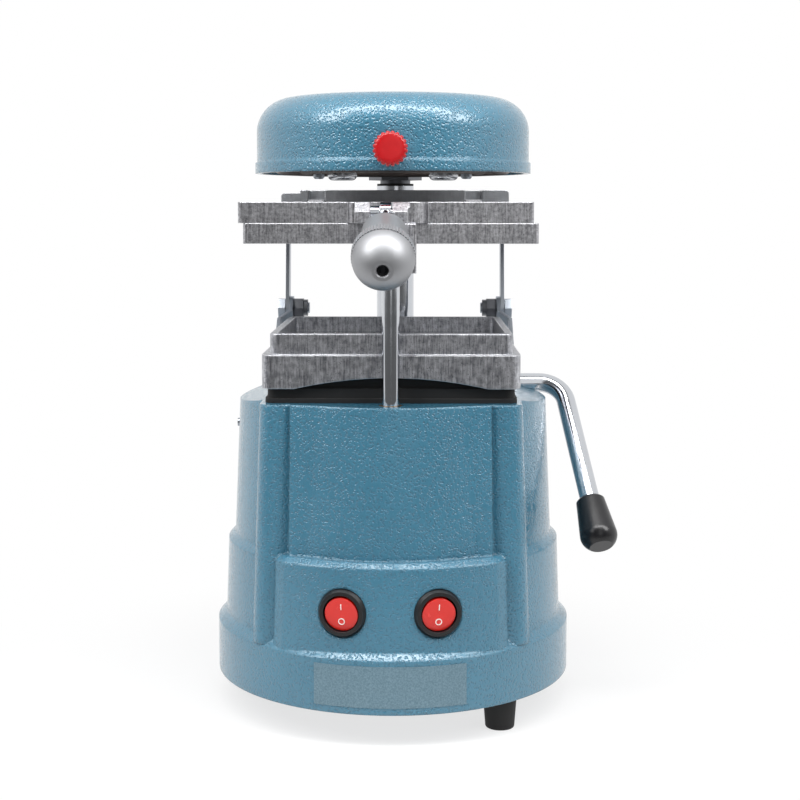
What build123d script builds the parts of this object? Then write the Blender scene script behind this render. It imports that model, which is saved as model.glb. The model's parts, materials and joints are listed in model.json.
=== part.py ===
"""Bench-top dental vacuum former: cast base, suction tray, sheet frames on a column, swivelling heater hood."""
from build123d import *
from math import asin, atan2, cos, degrees, radians, sin, sqrt, tan
import os

os.makedirs("parts", exist_ok=True)

# ---------------------------------------------------------------- driving dimensions (mm)
# plan of everything above the base, set by the sheet frames
FRAME_HALF = 69.0
FRAME_BORDER = 10.2
RIM_SIDE_GAP = 0.8
RIM_STEP = 3.7
PAD_INSET = 2.5
CROSSHEAD_GAP = 1.9
COLUMN_SETBACK = 15.1
FRAME_OPENING = FRAME_HALF - FRAME_BORDER
RIM_HALF = FRAME_OPENING - RIM_SIDE_GAP
TRAY_HALF = RIM_HALF + RIM_STEP
PAD_HALF = TRAY_HALF - PAD_INSET
CROSSHEAD_FRONT = FRAME_HALF + CROSSHEAD_GAP
COLUMN_Y = CROSSHEAD_FRONT + COLUMN_SETBACK

# base housing: z = 0 is the bench, the base axis is x = y = 0, the front is -y
FOOT_HEIGHT = 16.0
FOOT_TOP_D = 16.5
FOOT_TIP_D = 14.0
FOOT_CIRCLE_R = 78.0
FOOT_ANGLES = (-47.6, 72.4, 172.0)
FLANGE_R = 90.0
FLANGE_HEIGHT = 26.4
FLANGE_BEVEL = 4.2
TIER_HEIGHT = 43.6
TIER_DRAFT = 1.3
LEDGE_WIDTH = 3.4
BODY_DRAFT = 3.0
HOUSING_HEIGHT = 141.5
WALL = 6.0
TOP_PLATE = 10.0
TOP_RING = 22.0
CROWN_ANGLE = 13.5
RIB_HALF = 62.5
RIB_SPREAD = 4.0
RIB_REACH = 67.0
RIB_ROUND = 7.0
PANEL_HALF = 47.5
PANEL_REACH = 74.0
PANEL_BACK = 30.0
RIB_BACK = 20.0
RIB_SHOULDER = 3.5
RIB_DRAFT = 0.01
PANEL_SAG = 7.2
PANEL_STEP = 2.4
PANEL_DRAFT = 1.5
SWITCH_TIER_HALF = 54.6
SWITCH_TIER_REACH = 86.0
SWITCH_TIER_SAG = 13.7
SWITCH_TIER_CORNER = 4.2
SWITCH_TIER_EDGE = 2.4

# rear column, its boss on the housing and the parts that ride on it
COLUMN_D = 21.0
COLUMN_BORE = 14.0
COLUMN_TOP = 262.7
COLUMN_SOCKET = 92.0
COLUMN_PLUG = 30.0
COLUMN_BOLT_D = 8.0
COLUMN_BOLT_HEAD_D = 13.0
COLUMN_BOLT_HEAD_Z = 28.0
BOSS_WALL = 5.5
FLANGE_BOSS_WALL = 8.0

# suction tray and rubber pad
PAD_HEIGHT = 7.0
PAD_LIP = 1.0
PAD_LIP_HEIGHT = 2.2
PAD_PLUG_HEIGHT = 8.0
SUCTION_BORE = 40.0
TRAY_WALL = 4.0
TRAY_SKIRT_HEIGHT = 16.0
TRAY_FLOOR = 5.0
TRAY_ARCH = 5.2
TRAY_CORNER_FLAT = 46.0
RIM_WALL = 3.6
RIM_HEIGHT = 10.0
TRAY_ROUND = 6.0
SCREEN_THICK = 2.0
SCREEN_HOLE_D = 4.0
SCREEN_PITCH = 11.0
SCREEN_ROWS = 9

# sheet frames
LOWER_THICK = 9.5
UPPER_THICK = 9.8
FRAME_TRAVEL = 52.5
UPPER_SHIFT = -2.3
SEAL_WIDTH = 4.0
SEAL_DEPTH = 1.2
BLOCK_HALF = 12.0
BLOCK_DEPTH = 22.5
FORK_X = -4.2
FORK_HALF = 12.2
FORK_GAP = 10.3
FORK_REACH = 11.5
FORK_CHAMFER = 4.5
FORK_FLARE_LEFT = 3.5
FORK_FLARE_RIGHT = 9.5
FRAME_GAP = 0.1

# crosshead behind the frames
CROSSHEAD_HALF = FRAME_HALF - 5.4
CROSSHEAD_DEPTH = 19.0
CROSSHEAD_TOP = 260.2
BUSH_WALL = 2.0
HINGE_Y = CROSSHEAD_FRONT + 5.6
HINGE_Z = 250.0
HINGE_PIN_D = 5.0
HINGE_X = 44.0
HINGE_LUG = 9.0

# front guide rod
ROD_D = 8.4
ROD_Y = -FRAME_HALF + 1.6
ROD_END = 143.5
ROD_BUSH_WALL = 1.2
ROD_BUSH_LENGTH = 26.0

# front clamp: the bolt hangs from the fork and slopes down to the front
CLAMP_ANGLE = 22.0
CLAMP_PIN_Y = -FRAME_HALF - 2.5
CLAMP_PIN_Z = 248.0
CLAMP_PIN_D = 4.0
BOLT_D = 6.0
BOLT_EYE_D = 9.6
BOLT_EYE_WIDTH = 5.0
BOLT_LENGTH = 52.0
KNOB_OFFSET = 23.0
KNOB_LENGTH = 43.0
KNOB_NECK_D = 21.0
KNOB_NECK_LENGTH = 22.7
KNOB_MAX_D = 28.2
KNURL_LENGTH = 6.6
KNOB_HOLE_D = 5.3
WASHER_THICK = 1.5
WASHER_D = 19.0

# lifting linkage, given at rest with the frames raised
SHAFT_D = 10.0
SHAFT_Y = 27.0
SHAFT_Z = 157.5
SHAFT_END_X = 67.0
LEVER_BEND_X = 89.3
LEVER_FORWARD_ANGLE = 40.0
LEVER_OUTWARD_ANGLE = 8.4
LEVER_LENGTH = 98.0
LEVER_BEND_R = 14.0
GRIP_LENGTH = 26.5
GRIP_TOP_D = 14.5
GRIP_MAX_D = 18.5
CRANK_PIN_Y = HINGE_Y - 6.5
CRANK_PIN_Z = 194.5
CRANK_TURN = 56.75
ARM_THICK = 2.0
ARM_SLOT_SHIFT = 25.0
ARM_SLOT_LENGTH = 72.0
ARM_SLOT_HEIGHT = 34.0
ARM_WIDTH = 13.0
ARM_X = TRAY_HALF + 1.0
ARM_EYE_X = ARM_X - 6.1
LINK_THICK = 2.0
LINK_WIDTH = 9.0
LINK_GAP = 0.3
LINK_TOP_Y = HINGE_Y
LINK_TOP_Z = 243.5
LINK_PIN_D = 5.0
LINK_SLOT_LIFT = 2.0
LINK_SLOT_RUN = 6.7
CRANK_BOLT_D = 6.0
HEX_FLATS = 10.0
HEX_HEIGHT = 4.0
NUT_HEIGHT = 7.8

# heater hood
HOOD_R = FRAME_HALF
HOOD_LIP = 0.9
HOOD_LIP_HEIGHT = 5.2
HOOD_BOTTOM = 267.5
HOOD_HEIGHT = 40.0
HOOD_ROUND = 17.0
HOOD_CROWN = 2.4
HOOD_WALL = 2.2
HUB_R = 15.0
HUB_HEIGHT = 14.0
ARM_PLATE_HALF = 16.0
ARM_PLATE_THICK = 4.0
KNOB_STUD_D = 5.0
REFLECTOR_Z = 273.2
REFLECTOR_THICK = 1.2
ELEMENT_Z = 270.0
ELEMENT_R = 3.0
BOSS_BOTTOM = 264.2
HOOD_SCREW_Y = -12.0
HOOD_SCREW_D = 3.0
HOOD_SCREW_HEAD_D = 5.6
HOOD_SCREW_HEAD = 2.4
HOOD_KNOB_D = 16.4
HOOD_KNOB_LENGTH = 11.0
HOOD_KNOB_TEETH = 20
HOOD_KNOB_Z = 277.2
HOOD_KNOB_GAP = 2.5
COLLAR_FLATS = 26.0
COLLAR_HEIGHT = 3.6
NECK_D = 17.0
NECK_HEIGHT = 2.4
RING_D = 20.6
RING_HEIGHT = 1.2
BOSS_X = 25.8
HEATER_BOSS_D = 15.0
HOOD_SCREW_X = 37.0

# switches and label
SWITCH_X = 22.3
SWITCH_Z = 62.5
BEZEL_D = 23.0
BEZEL_HEIGHT = 2.4
SWITCH_BODY_D = 19.6
SWITCH_BODY_LENGTH = 18.0
ROCKER_D = 15.9
ROCKER_RISE = 2.6
ROCKER_TILT = 9.0
LABEL_WIDTH = 73.0
LABEL_HEIGHT = 19.5
LABEL_THICK = 0.25

# vacuum motor
MOTOR_ROOM = 18.1
MOTOR_CASE_HEIGHT = 34.0
MOTOR_RIM = 13.0
MOTOR_CLAMP_THICK = 3.0
MOTOR_VENT_D = 8.0
MOTOR_VENT_INSET = 9.0
MOTOR_BODY_LENGTH = 62.0
MOTOR_SEAL_HEIGHT = 6.0
MOTOR_SHAFT_D = 8.0
FAN_HEIGHT = 14.0
SHEET_STEEL = 2.0

# rear fittings and wiring
TERMINAL_X = -50.0
TERMINAL_Y = 18.0
TERMINAL_PITCH = 7.0
TERMINAL_END = 3.0
TERMINAL_HEIGHT = 12.0

# fits
RUNNING = 0.1
CLEAR = 0.3
SIDE_CLEAR = 1.0
BASE_SCREW_D = 4.0
BASE_SCREW_LENGTH = 12.0
BASE_SCREW_COUNT = 3
BASE_SCREW_FIRST_ANGLE = 20.0
SIDE_SCREW_D = 4.2
SIDE_SCREW_Z = 139.9
SIDE_SCREW_RISE = 1.3
FRAME_SCREW_D = 5.0

# ---------------------------------------------------------------- derived heights and places
FLANGE_TOP = FOOT_HEIGHT + FLANGE_HEIGHT
TIER_TOP = FLANGE_TOP + TIER_HEIGHT
SEAT_Z = FOOT_HEIGHT + HOUSING_HEIGHT
TIER_R = FLANGE_R - FLANGE_BEVEL
TIER_TOP_R = TIER_R - TIER_DRAFT
BODY_R = TIER_TOP_R - LEDGE_WIDTH
BODY_TOP_R = BODY_R - BODY_DRAFT
MOTOR_CASE_D = 2 * (BODY_TOP_R - WALL - MOTOR_ROOM)
MOTOR_BODY_D = MOTOR_CASE_D - 24.0
FAN_D = MOTOR_CASE_D - 12.0
PAD_TOP = SEAT_Z + PAD_HEIGHT
TRAY_STEP_Z = PAD_TOP + TRAY_SKIRT_HEIGHT
RIM_TOP = TRAY_STEP_Z + RIM_HEIGHT
LOWER_Z = RIM_TOP + FRAME_TRAVEL - LOWER_THICK
PART_LINE = LOWER_Z + LOWER_THICK
UPPER_TOP = PART_LINE + FRAME_GAP + UPPER_THICK
BLOCK_BOTTOM = PART_LINE - BLOCK_DEPTH
COLUMN_BOTTOM = SEAT_Z - COLUMN_SOCKET
BOSS_R = COLUMN_D / 2 + BOSS_WALL
CROSSHEAD_BACK = CROSSHEAD_FRONT + CROSSHEAD_DEPTH
BUSH_D = COLUMN_D + 2 * (RUNNING + BUSH_WALL)
BLOCK_FRONT = (
    -CLAMP_PIN_Y
    + KNOB_OFFSET * cos(radians(CLAMP_ANGLE))
    - WASHER_D / 2 * sin(radians(CLAMP_ANGLE))
    - FRAME_GAP
)
CLAMP_PLANE = Plane(
    origin=(UPPER_SHIFT, CLAMP_PIN_Y, CLAMP_PIN_Z),
    x_dir=(1, 0, 0),
    z_dir=(0, -cos(radians(CLAMP_ANGLE)), -sin(radians(CLAMP_ANGLE))),
)


def arc_radius(half_chord, sag):
    """Radius of the arc through two ends half_chord each side of its middle, sag ahead of them."""
    return (half_chord**2 + sag**2) / (2 * sag)


# ---------------------------------------------------------------- base housing
CAVITY_R = TIER_R - WALL - 2.0
SCREW_CIRCLE_R = CAVITY_R - BASE_SCREW_D
PLATE_R = FLANGE_R - WALL
PLATE_GAP = 0.3
RING_BOTTOM = SEAT_Z - TOP_RING
RING_R = SUCTION_BORE / 2 + 37.0
SWITCH_ARC_R = arc_radius(SWITCH_TIER_HALF - SWITCH_TIER_CORNER, SWITCH_TIER_SAG)
SWITCH_TURN = degrees(asin(SWITCH_X / SWITCH_ARC_R))
SWITCH_FACE = SWITCH_TIER_REACH - SWITCH_ARC_R + sqrt(SWITCH_ARC_R**2 - SWITCH_X**2) - 0.3
POCKET_X = ARM_X - SIDE_CLEAR
POCKET_WIDTH = ARM_THICK + 2 * SIDE_CLEAR
REAR_FITTING_TURN = 24.0
REAR_FITTING_Z = 62.0
GLAND_HOLE_D = 12.0
FUSE_HOLE_D = 12.5


def switch_plane(side):
    """Seat of a switch on the tier: local z points out of the panel."""
    turn = radians(SWITCH_TURN * side)
    return Plane(
        origin=(SWITCH_X * side, -SWITCH_FACE, SWITCH_Z),
        x_dir=(cos(turn), sin(turn), 0),
        z_dir=(sin(turn), -cos(turn), 0),
    )


def rear_plane(side, radius):
    """Seat of a rear fitting: local z points out of the housing."""
    turn = radians(REAR_FITTING_TURN * side)
    return Plane(
        origin=(radius * sin(turn), radius * cos(turn), REAR_FITTING_Z),
        x_dir=(-cos(turn), sin(turn), 0),
        z_dir=(sin(turn), cos(turn), 0),
    )


def rib_points(half, reach):
    """Plan of the two front ribs: rounded corners that fall back a little towards the panel."""
    inner = PANEL_HALF + 0.5
    shoulder = half - RIB_ROUND - RIB_SHOULDER
    left = [(-half, -RIB_BACK), (-half, -reach), (-shoulder, -reach), (-inner, -reach + PANEL_STEP)]
    return left + [(-x, y) for x, y in reversed(left)]


with BuildPart() as housing:
    with BuildSketch(Plane.XZ) as casting_profile:
        with BuildLine() as casting_outline:
            Polyline(
                (0, FOOT_HEIGHT),
                (FLANGE_R, FOOT_HEIGHT),
                (FLANGE_R, FLANGE_TOP - 1.0),
                (TIER_R, FLANGE_TOP + FLANGE_BEVEL - 1.0),
                (TIER_TOP_R, TIER_TOP - LEDGE_WIDTH),
                (BODY_R, TIER_TOP),
                (BODY_TOP_R, SEAT_Z),
                (0, SEAT_Z),
                close=True,
            )
        make_face()
    revolve(axis=Axis.Z)
    # front ribs
    for rib_z, rib_half in ((FLANGE_TOP, RIB_HALF + RIB_SPREAD), (SEAT_Z, RIB_HALF)):
        with BuildSketch(Plane.XY.offset(rib_z)) as rib_section:
            with BuildLine() as rib_line:
                Polyline(*rib_points(rib_half, RIB_REACH - (SEAT_Z - rib_z) * RIB_DRAFT), close=True)
            make_face()
            fillet(rib_section.vertices().group_by(Axis.Y)[0], RIB_ROUND)
    loft(ruled=True)
    # front panel
    for panel_z, panel_grow in ((TIER_TOP - 2.0, PANEL_DRAFT), (SEAT_Z, 0.0)):
        with BuildSketch(Plane.XY.offset(panel_z)) as panel_section:
            with BuildLine() as panel_line:
                panel_side = PANEL_HALF + panel_grow / 2
                panel_front = PANEL_REACH + panel_grow
                Polyline(
                    (-panel_side, -panel_front + PANEL_SAG),
                    (-panel_side, -PANEL_BACK),
                    (panel_side, -PANEL_BACK),
                    (panel_side, -panel_front + PANEL_SAG),
                )
                ThreePointArc(
                    (-panel_side, -panel_front + PANEL_SAG),
                    (0, -panel_front),
                    (panel_side, -panel_front + PANEL_SAG),
                )
            make_face()
    loft(ruled=True)
    # switch tier, with a bevel round its top
    tier_bevel_z = TIER_TOP - SWITCH_TIER_EDGE
    tier_levels = ((FLANGE_TOP - 2.0, 1.0), (tier_bevel_z, 0.0), (TIER_TOP, -SWITCH_TIER_EDGE))
    for lower_level, upper_level in zip(tier_levels, tier_levels[1:]):
        for tier_z, tier_grow in (lower_level, upper_level):
            with BuildSketch(Plane.XY.offset(tier_z)) as tier_section:
                with BuildLine() as tier_line:
                    tier_side = SWITCH_TIER_HALF + tier_grow
                    tier_arc = tier_side - SWITCH_TIER_CORNER
                    tier_front = SWITCH_TIER_REACH + tier_grow
                    tier_shoulder = -tier_front + SWITCH_TIER_SAG
                    Polyline(
                        (-tier_arc, tier_shoulder),
                        (-tier_side, tier_shoulder + SWITCH_TIER_CORNER),
                        (-tier_side, -PANEL_BACK),
                        (tier_side, -PANEL_BACK),
                        (tier_side, tier_shoulder + SWITCH_TIER_CORNER),
                        (tier_arc, tier_shoulder),
                    )
                    ThreePointArc((-tier_arc, tier_shoulder), (0, -tier_front), (tier_arc, tier_shoulder))
                make_face()
        loft(ruled=True)
    # rear boss for the column
    with BuildSketch(Plane.XY.offset(FOOT_HEIGHT)) as boss_section:
        with Locations((0, COLUMN_Y)):
            Circle(BOSS_R)
        with Locations((0, COLUMN_Y / 2 + 20)):
            Rectangle(2 * BOSS_R, COLUMN_Y - 40)
    extrude(amount=HOUSING_HEIGHT)
    with BuildSketch(Plane.XY.offset(FOOT_HEIGHT)) as flange_boss_section:
        with Locations((0, COLUMN_Y)):
            Circle(COLUMN_D / 2 + FLANGE_BOSS_WALL)
    extrude(amount=FLANGE_HEIGHT)
    # side lobes fall away outside the pad
    for side in (-1, 1):
        with BuildSketch(Plane.XZ.offset(-FLANGE_R - 20)) as crown_section:
            with BuildLine() as crown_line:
                crown_run = FLANGE_R - PAD_HALF
                Polyline(
                    (side * (PAD_HALF + 2), SEAT_Z),
                    (side * (PAD_HALF + 2 + crown_run), SEAT_Z - crown_run * tan(radians(CROWN_ANGLE))),
                    (side * (PAD_HALF + 2 + crown_run), SEAT_Z + 1),
                    (side * (PAD_HALF + 2), SEAT_Z + 1),
                    close=True,
                )
            make_face()
        extrude(amount=2 * FLANGE_R + 40, mode=Mode.SUBTRACT)
    # hollow inside, open at the bottom for the base plate
    with BuildSketch(Plane.XZ) as cavity_profile:
        with BuildLine() as cavity_outline:
            Polyline(
                (0, FOOT_HEIGHT),
                (PLATE_R + PLATE_GAP, FOOT_HEIGHT),
                (PLATE_R + PLATE_GAP, FOOT_HEIGHT + SHEET_STEEL),
                (CAVITY_R, FOOT_HEIGHT + SHEET_STEEL),
                (CAVITY_R, TIER_TOP - WALL),
                (BODY_TOP_R - WALL, TIER_TOP + WALL),
                (BODY_TOP_R - WALL, RING_BOTTOM),
                (RING_R, RING_BOTTOM),
                (RING_R, SEAT_Z - TOP_PLATE),
                (0, SEAT_Z - TOP_PLATE),
                close=True,
            )
        make_face()
    revolve(axis=Axis.Z, mode=Mode.SUBTRACT)
    # bosses for the base screws
    with BuildSketch(Plane.XY.offset(FOOT_HEIGHT + SHEET_STEEL)) as screw_boss_section:
        with PolarLocations(SCREW_CIRCLE_R, BASE_SCREW_COUNT, start_angle=BASE_SCREW_FIRST_ANGLE):
            Circle(BASE_SCREW_D + 1)
    extrude(amount=2 * BASE_SCREW_LENGTH)
    with BuildSketch(Plane.XY.offset(FOOT_HEIGHT + SHEET_STEEL)) as screw_hole_section:
        with PolarLocations(SCREW_CIRCLE_R, BASE_SCREW_COUNT, start_angle=BASE_SCREW_FIRST_ANGLE):
            Circle(BASE_SCREW_D / 2)
    extrude(amount=BASE_SCREW_LENGTH, mode=Mode.SUBTRACT)
    # blind socket for the column, with a bolt hole from below
    with BuildSketch(Plane.XY.offset(COLUMN_BOTTOM)) as socket_section:
        with Locations((0, COLUMN_Y)):
            Circle(COLUMN_D / 2)
    extrude(amount=COLUMN_SOCKET + 1, mode=Mode.SUBTRACT)
    with BuildSketch(Plane.XY.offset(FOOT_HEIGHT)) as column_bolt_section:
        with Locations((0, COLUMN_Y)):
            Circle(COLUMN_BOLT_D / 2 + CLEAR)
    extrude(amount=COLUMN_BOTTOM, mode=Mode.SUBTRACT)
    with BuildSketch(Plane.XY.offset(FOOT_HEIGHT)) as counterbore_section:
        with Locations((0, COLUMN_Y)):
            Circle(COLUMN_BOLT_HEAD_D / 2 + CLEAR)
    extrude(amount=COLUMN_BOLT_HEAD_Z + COLUMN_BOLT_D - FOOT_HEIGHT, mode=Mode.SUBTRACT)
    # suction bore
    with BuildSketch(Plane.XY.offset(SEAT_Z - TOP_PLATE - 1)) as suction_section:
        Circle(SUCTION_BORE / 2)
    extrude(amount=TOP_PLATE + 2, mode=Mode.SUBTRACT)
    # front rod bore
    with BuildSketch(Plane.XY.offset(SEAT_Z + 1)) as rod_bore_section:
        with Locations((0, ROD_Y)):
            Circle(ROD_D / 2 + RUNNING + ROD_BUSH_WALL)
    extrude(amount=-(SEAT_Z + 1 - (ROD_END - FRAME_TRAVEL - 5)), mode=Mode.SUBTRACT)
    # groove for the lever shaft
    with BuildSketch(Plane.YZ.offset(-SHAFT_END_X - SIDE_CLEAR)) as groove_section:
        with Locations((SHAFT_Y, SHAFT_Z)):
            Circle(SHAFT_D / 2 + RUNNING)
        with Locations((SHAFT_Y, SHAFT_Z + SHAFT_D / 2)):
            Rectangle(SHAFT_D + 2 * RUNNING, SHAFT_D)
    extrude(amount=SHAFT_END_X + SIDE_CLEAR + FLANGE_R, mode=Mode.SUBTRACT)
    # slots for the crank arms
    for side in (-1, 1):
        with BuildSketch(Plane.YZ.offset(side * (POCKET_X + POCKET_WIDTH / 2))) as slot_section:
            with Locations((SHAFT_Y + ARM_SLOT_SHIFT, SEAT_Z)):
                Rectangle(ARM_SLOT_LENGTH, ARM_SLOT_HEIGHT)
        extrude(amount=POCKET_WIDTH / 2, both=True, mode=Mode.SUBTRACT)
    # switch seats, body holes and room behind them
    for side in (-1, 1):
        with BuildSketch(switch_plane(side)) as seat_section:
            Circle(BEZEL_D / 2 + CLEAR)
        extrude(amount=5, mode=Mode.SUBTRACT)
        with BuildSketch(switch_plane(side)) as body_hole_section:
            Circle(SWITCH_BODY_D / 2 + RUNNING)
        extrude(amount=-SWITCH_BODY_LENGTH - WALL, mode=Mode.SUBTRACT)
    # hole of the side screw
    with BuildSketch(Plane.YZ.offset(-BODY_R)) as side_screw_hole_section:
        with Locations((0, SIDE_SCREW_Z)):
            Circle(SIDE_SCREW_D / 2)
    extrude(amount=8, mode=Mode.SUBTRACT)
    # rear fittings
    for side, hole_d in ((-1, GLAND_HOLE_D), (1, FUSE_HOLE_D)):
        with BuildSketch(rear_plane(side, TIER_TOP_R - 1)) as rear_seat_section:
            Circle(11)
        extrude(amount=6, mode=Mode.SUBTRACT)
        with BuildSketch(rear_plane(side, TIER_TOP_R - 1)) as rear_hole_section:
            Circle(hole_d / 2)
        extrude(amount=-4 * WALL, mode=Mode.SUBTRACT)
housing.part.label = "housing"
export_step(housing.part, "parts/housing.step")

# ---------------------------------------------------------------- pieces fixed to the housing
LABEL_Z = FOOT_HEIGHT + (FLANGE_HEIGHT - LABEL_HEIGHT) / 2
LABEL_TURN = degrees(LABEL_WIDTH / 2 / FLANGE_R)

with BuildPart() as base_plate:
    with BuildSketch(Plane.XY.offset(FOOT_HEIGHT)) as plate_section:
        Circle(PLATE_R)
        with PolarLocations(SCREW_CIRCLE_R, BASE_SCREW_COUNT, start_angle=BASE_SCREW_FIRST_ANGLE):
            Circle(BASE_SCREW_D / 2 + RUNNING, mode=Mode.SUBTRACT)
        with PolarLocations(PLATE_R / 2, 12):
            SlotOverall(24, 4, mode=Mode.SUBTRACT)
    extrude(amount=SHEET_STEEL)
base_plate.part.label = "base_plate"
export_step(base_plate.part, "parts/base_plate.step")

with BuildPart() as base_screws:
    with BuildSketch(Plane.XY.offset(FOOT_HEIGHT)) as screw_head_section:
        with PolarLocations(SCREW_CIRCLE_R, BASE_SCREW_COUNT, start_angle=BASE_SCREW_FIRST_ANGLE):
            Circle(BASE_SCREW_D)
    extrude(amount=-BASE_SCREW_D * 0.6)
    with BuildSketch(Plane.XY.offset(FOOT_HEIGHT)) as screw_shank_section:
        with PolarLocations(SCREW_CIRCLE_R, BASE_SCREW_COUNT, start_angle=BASE_SCREW_FIRST_ANGLE):
            Circle(BASE_SCREW_D / 2)
    extrude(amount=BASE_SCREW_LENGTH)
base_screws.part.label = "base_screws"
export_step(base_screws.part, "parts/base_screws.step")

with BuildPart() as feet:
    for foot_z, foot_d in ((0, FOOT_TIP_D), (FOOT_HEIGHT, FOOT_TOP_D)):
        with BuildSketch(Plane.XY.offset(foot_z)) as foot_section:
            Circle(foot_d / 2)
    loft()
    fillet(feet.edges().group_by(Axis.Z)[0], 1.0)
foot_solid = feet.part
foot_places = [
    Pos(FOOT_CIRCLE_R * cos(radians(foot_angle)), FOOT_CIRCLE_R * sin(radians(foot_angle)), 0)
    for foot_angle in FOOT_ANGLES
]
feet_part = Compound(children=[place * foot_solid for place in foot_places])
feet_part.label = "feet"
export_step(feet_part, "parts/feet.step")

with BuildPart() as rating_label:
    with BuildSketch(Plane.XY.offset(LABEL_Z)) as label_section:
        with BuildLine() as label_line:
            label_inner = CenterArc((0, 0), FLANGE_R, 270 - LABEL_TURN, 2 * LABEL_TURN)
            label_outer = CenterArc((0, 0), FLANGE_R + LABEL_THICK, 270 - LABEL_TURN, 2 * LABEL_TURN)
            Line(label_inner @ 0, label_outer @ 0)
            Line(label_inner @ 1, label_outer @ 1)
        make_face()
    extrude(amount=LABEL_HEIGHT)
rating_label.part.label = "rating_label"
export_step(rating_label.part, "parts/rating_label.step")

with BuildPart() as side_screw:
    with BuildSketch(Plane.YZ.offset(-BODY_R + 8)) as side_screw_section:
        with Locations((0, SIDE_SCREW_Z)):
            Circle(SIDE_SCREW_D / 2)
    extrude(amount=-8 - SIDE_SCREW_RISE + BODY_DRAFT * (SIDE_SCREW_Z - TIER_TOP) / (SEAT_Z - TIER_TOP))
side_screw.part.label = "side_screw"
export_step(side_screw.part, "parts/side_screw.step")

# ---------------------------------------------------------------- switches
SWITCH_POCKET_D = ROCKER_D + 1.3
ROCKER_PIVOT = -1.0
ROCKER_DEPTH = 4.0
for side, place in ((-1, "heat"), (1, "vacuum")):
    seat = switch_plane(side)
    with BuildPart() as switch_body:
        with BuildSketch(seat) as bezel_section:
            Circle(BEZEL_D / 2)
        extrude(amount=BEZEL_HEIGHT, taper=25)
        with BuildSketch(seat) as switch_body_section:
            Circle(SWITCH_BODY_D / 2)
        extrude(amount=-SWITCH_BODY_LENGTH)
        with BuildSketch(seat.offset(BEZEL_HEIGHT)) as rocker_pocket_section:
            Circle(SWITCH_POCKET_D / 2)
        extrude(amount=-BEZEL_HEIGHT - ROCKER_DEPTH - 2.2, mode=Mode.SUBTRACT)
    switch_body.part.label = place + "_switch_body"
    export_step(switch_body.part, "parts/" + place + "_switch_body.step")
    tilt = radians(ROCKER_TILT)
    pivot_plane = Plane(
        origin=seat.offset(ROCKER_PIVOT).origin,
        x_dir=seat.x_dir,
        z_dir=seat.z_dir * cos(tilt) - seat.y_dir * sin(tilt),
    )
    with BuildPart() as rocker:
        with BuildSketch(pivot_plane.offset(ROCKER_PIVOT - ROCKER_DEPTH + 2.0)) as rocker_section:
            Circle(ROCKER_D / 2)
        extrude(amount=ROCKER_DEPTH + ROCKER_RISE - 1.0)
    rocker.part.label = place + "_rocker"
    export_step(rocker.part, "parts/" + place + "_rocker.step")

# ---------------------------------------------------------------- rear fittings
with BuildPart() as cord_gland:
    gland_plane = rear_plane(-1, TIER_TOP_R - 1)
    with BuildSketch(gland_plane) as gland_flange_section:
        RegularPolygon(radius=9.5, side_count=6)
    extrude(amount=4)
    with BuildSketch(gland_plane.offset(4)) as gland_nose_section:
        Circle(6.5)
    extrude(amount=7, taper=8)
    with BuildSketch(gland_plane) as gland_tube_section:
        Circle(GLAND_HOLE_D / 2)
    extrude(amount=-14)
    with BuildSketch(gland_plane.offset(12)) as gland_bore_section:
        Circle(3.6)
    extrude(amount=-28, mode=Mode.SUBTRACT)
cord_gland.part.label = "cord_gland"
export_step(cord_gland.part, "parts/cord_gland.step")

with BuildPart() as fuse_holder:
    fuse_plane = rear_plane(1, TIER_TOP_R - 1)
    with BuildSketch(fuse_plane) as fuse_cap_section:
        Circle(8)
    extrude(amount=6)
    with BuildSketch(fuse_plane) as fuse_body_section:
        Circle(FUSE_HOLE_D / 2)
    extrude(amount=-22)
    with BuildSketch(fuse_plane.offset(6)) as fuse_slot_section:
        Rectangle(10, 1.4)
    extrude(amount=-1.2, mode=Mode.SUBTRACT)
fuse_holder.part.label = "fuse_holder"
export_step(fuse_holder.part, "parts/fuse_holder.step")

with BuildPart() as terminal_block:
    with BuildSketch(Plane.XY.offset(FOOT_HEIGHT + SHEET_STEEL)) as terminal_section:
        with Locations((TERMINAL_X, TERMINAL_Y)):
            Rectangle(2 * TERMINAL_PITCH, 4 * TERMINAL_PITCH + 2 * TERMINAL_END)
    extrude(amount=TERMINAL_HEIGHT)
    with BuildSketch(Plane.XY.offset(FOOT_HEIGHT + SHEET_STEEL + TERMINAL_HEIGHT)) as terminal_hole_section:
        with Locations((TERMINAL_X, TERMINAL_Y)):
            with GridLocations(TERMINAL_PITCH, TERMINAL_PITCH + 1, 2, 4):
                Circle(TERMINAL_PITCH / 4)
    extrude(amount=-TERMINAL_HEIGHT / 2, mode=Mode.SUBTRACT)
terminal_block.part.label = "terminal_block"
export_step(terminal_block.part, "parts/terminal_block.step")

# ---------------------------------------------------------------- vacuum motor
CEILING_Z = SEAT_Z - TOP_PLATE
CASE_TOP = CEILING_Z - MOTOR_SEAL_HEIGHT
CASE_BOTTOM = CASE_TOP - MOTOR_CASE_HEIGHT
CLAMP_BOTTOM = CASE_BOTTOM - MOTOR_CLAMP_THICK
STATOR_BORE_R = MOTOR_BODY_D / 2 - 16
FAN_Z = CASE_BOTTOM + 8.0

with BuildPart() as motor_seal:
    with BuildSketch(Plane.XY.offset(CASE_TOP)) as seal_section:
        Circle(SUCTION_BORE / 2 + 7)
        Circle(SUCTION_BORE / 2 + 1, mode=Mode.SUBTRACT)
    extrude(amount=MOTOR_SEAL_HEIGHT)
motor_seal.part.label = "motor_seal"
export_step(motor_seal.part, "parts/motor_seal.step")

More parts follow.
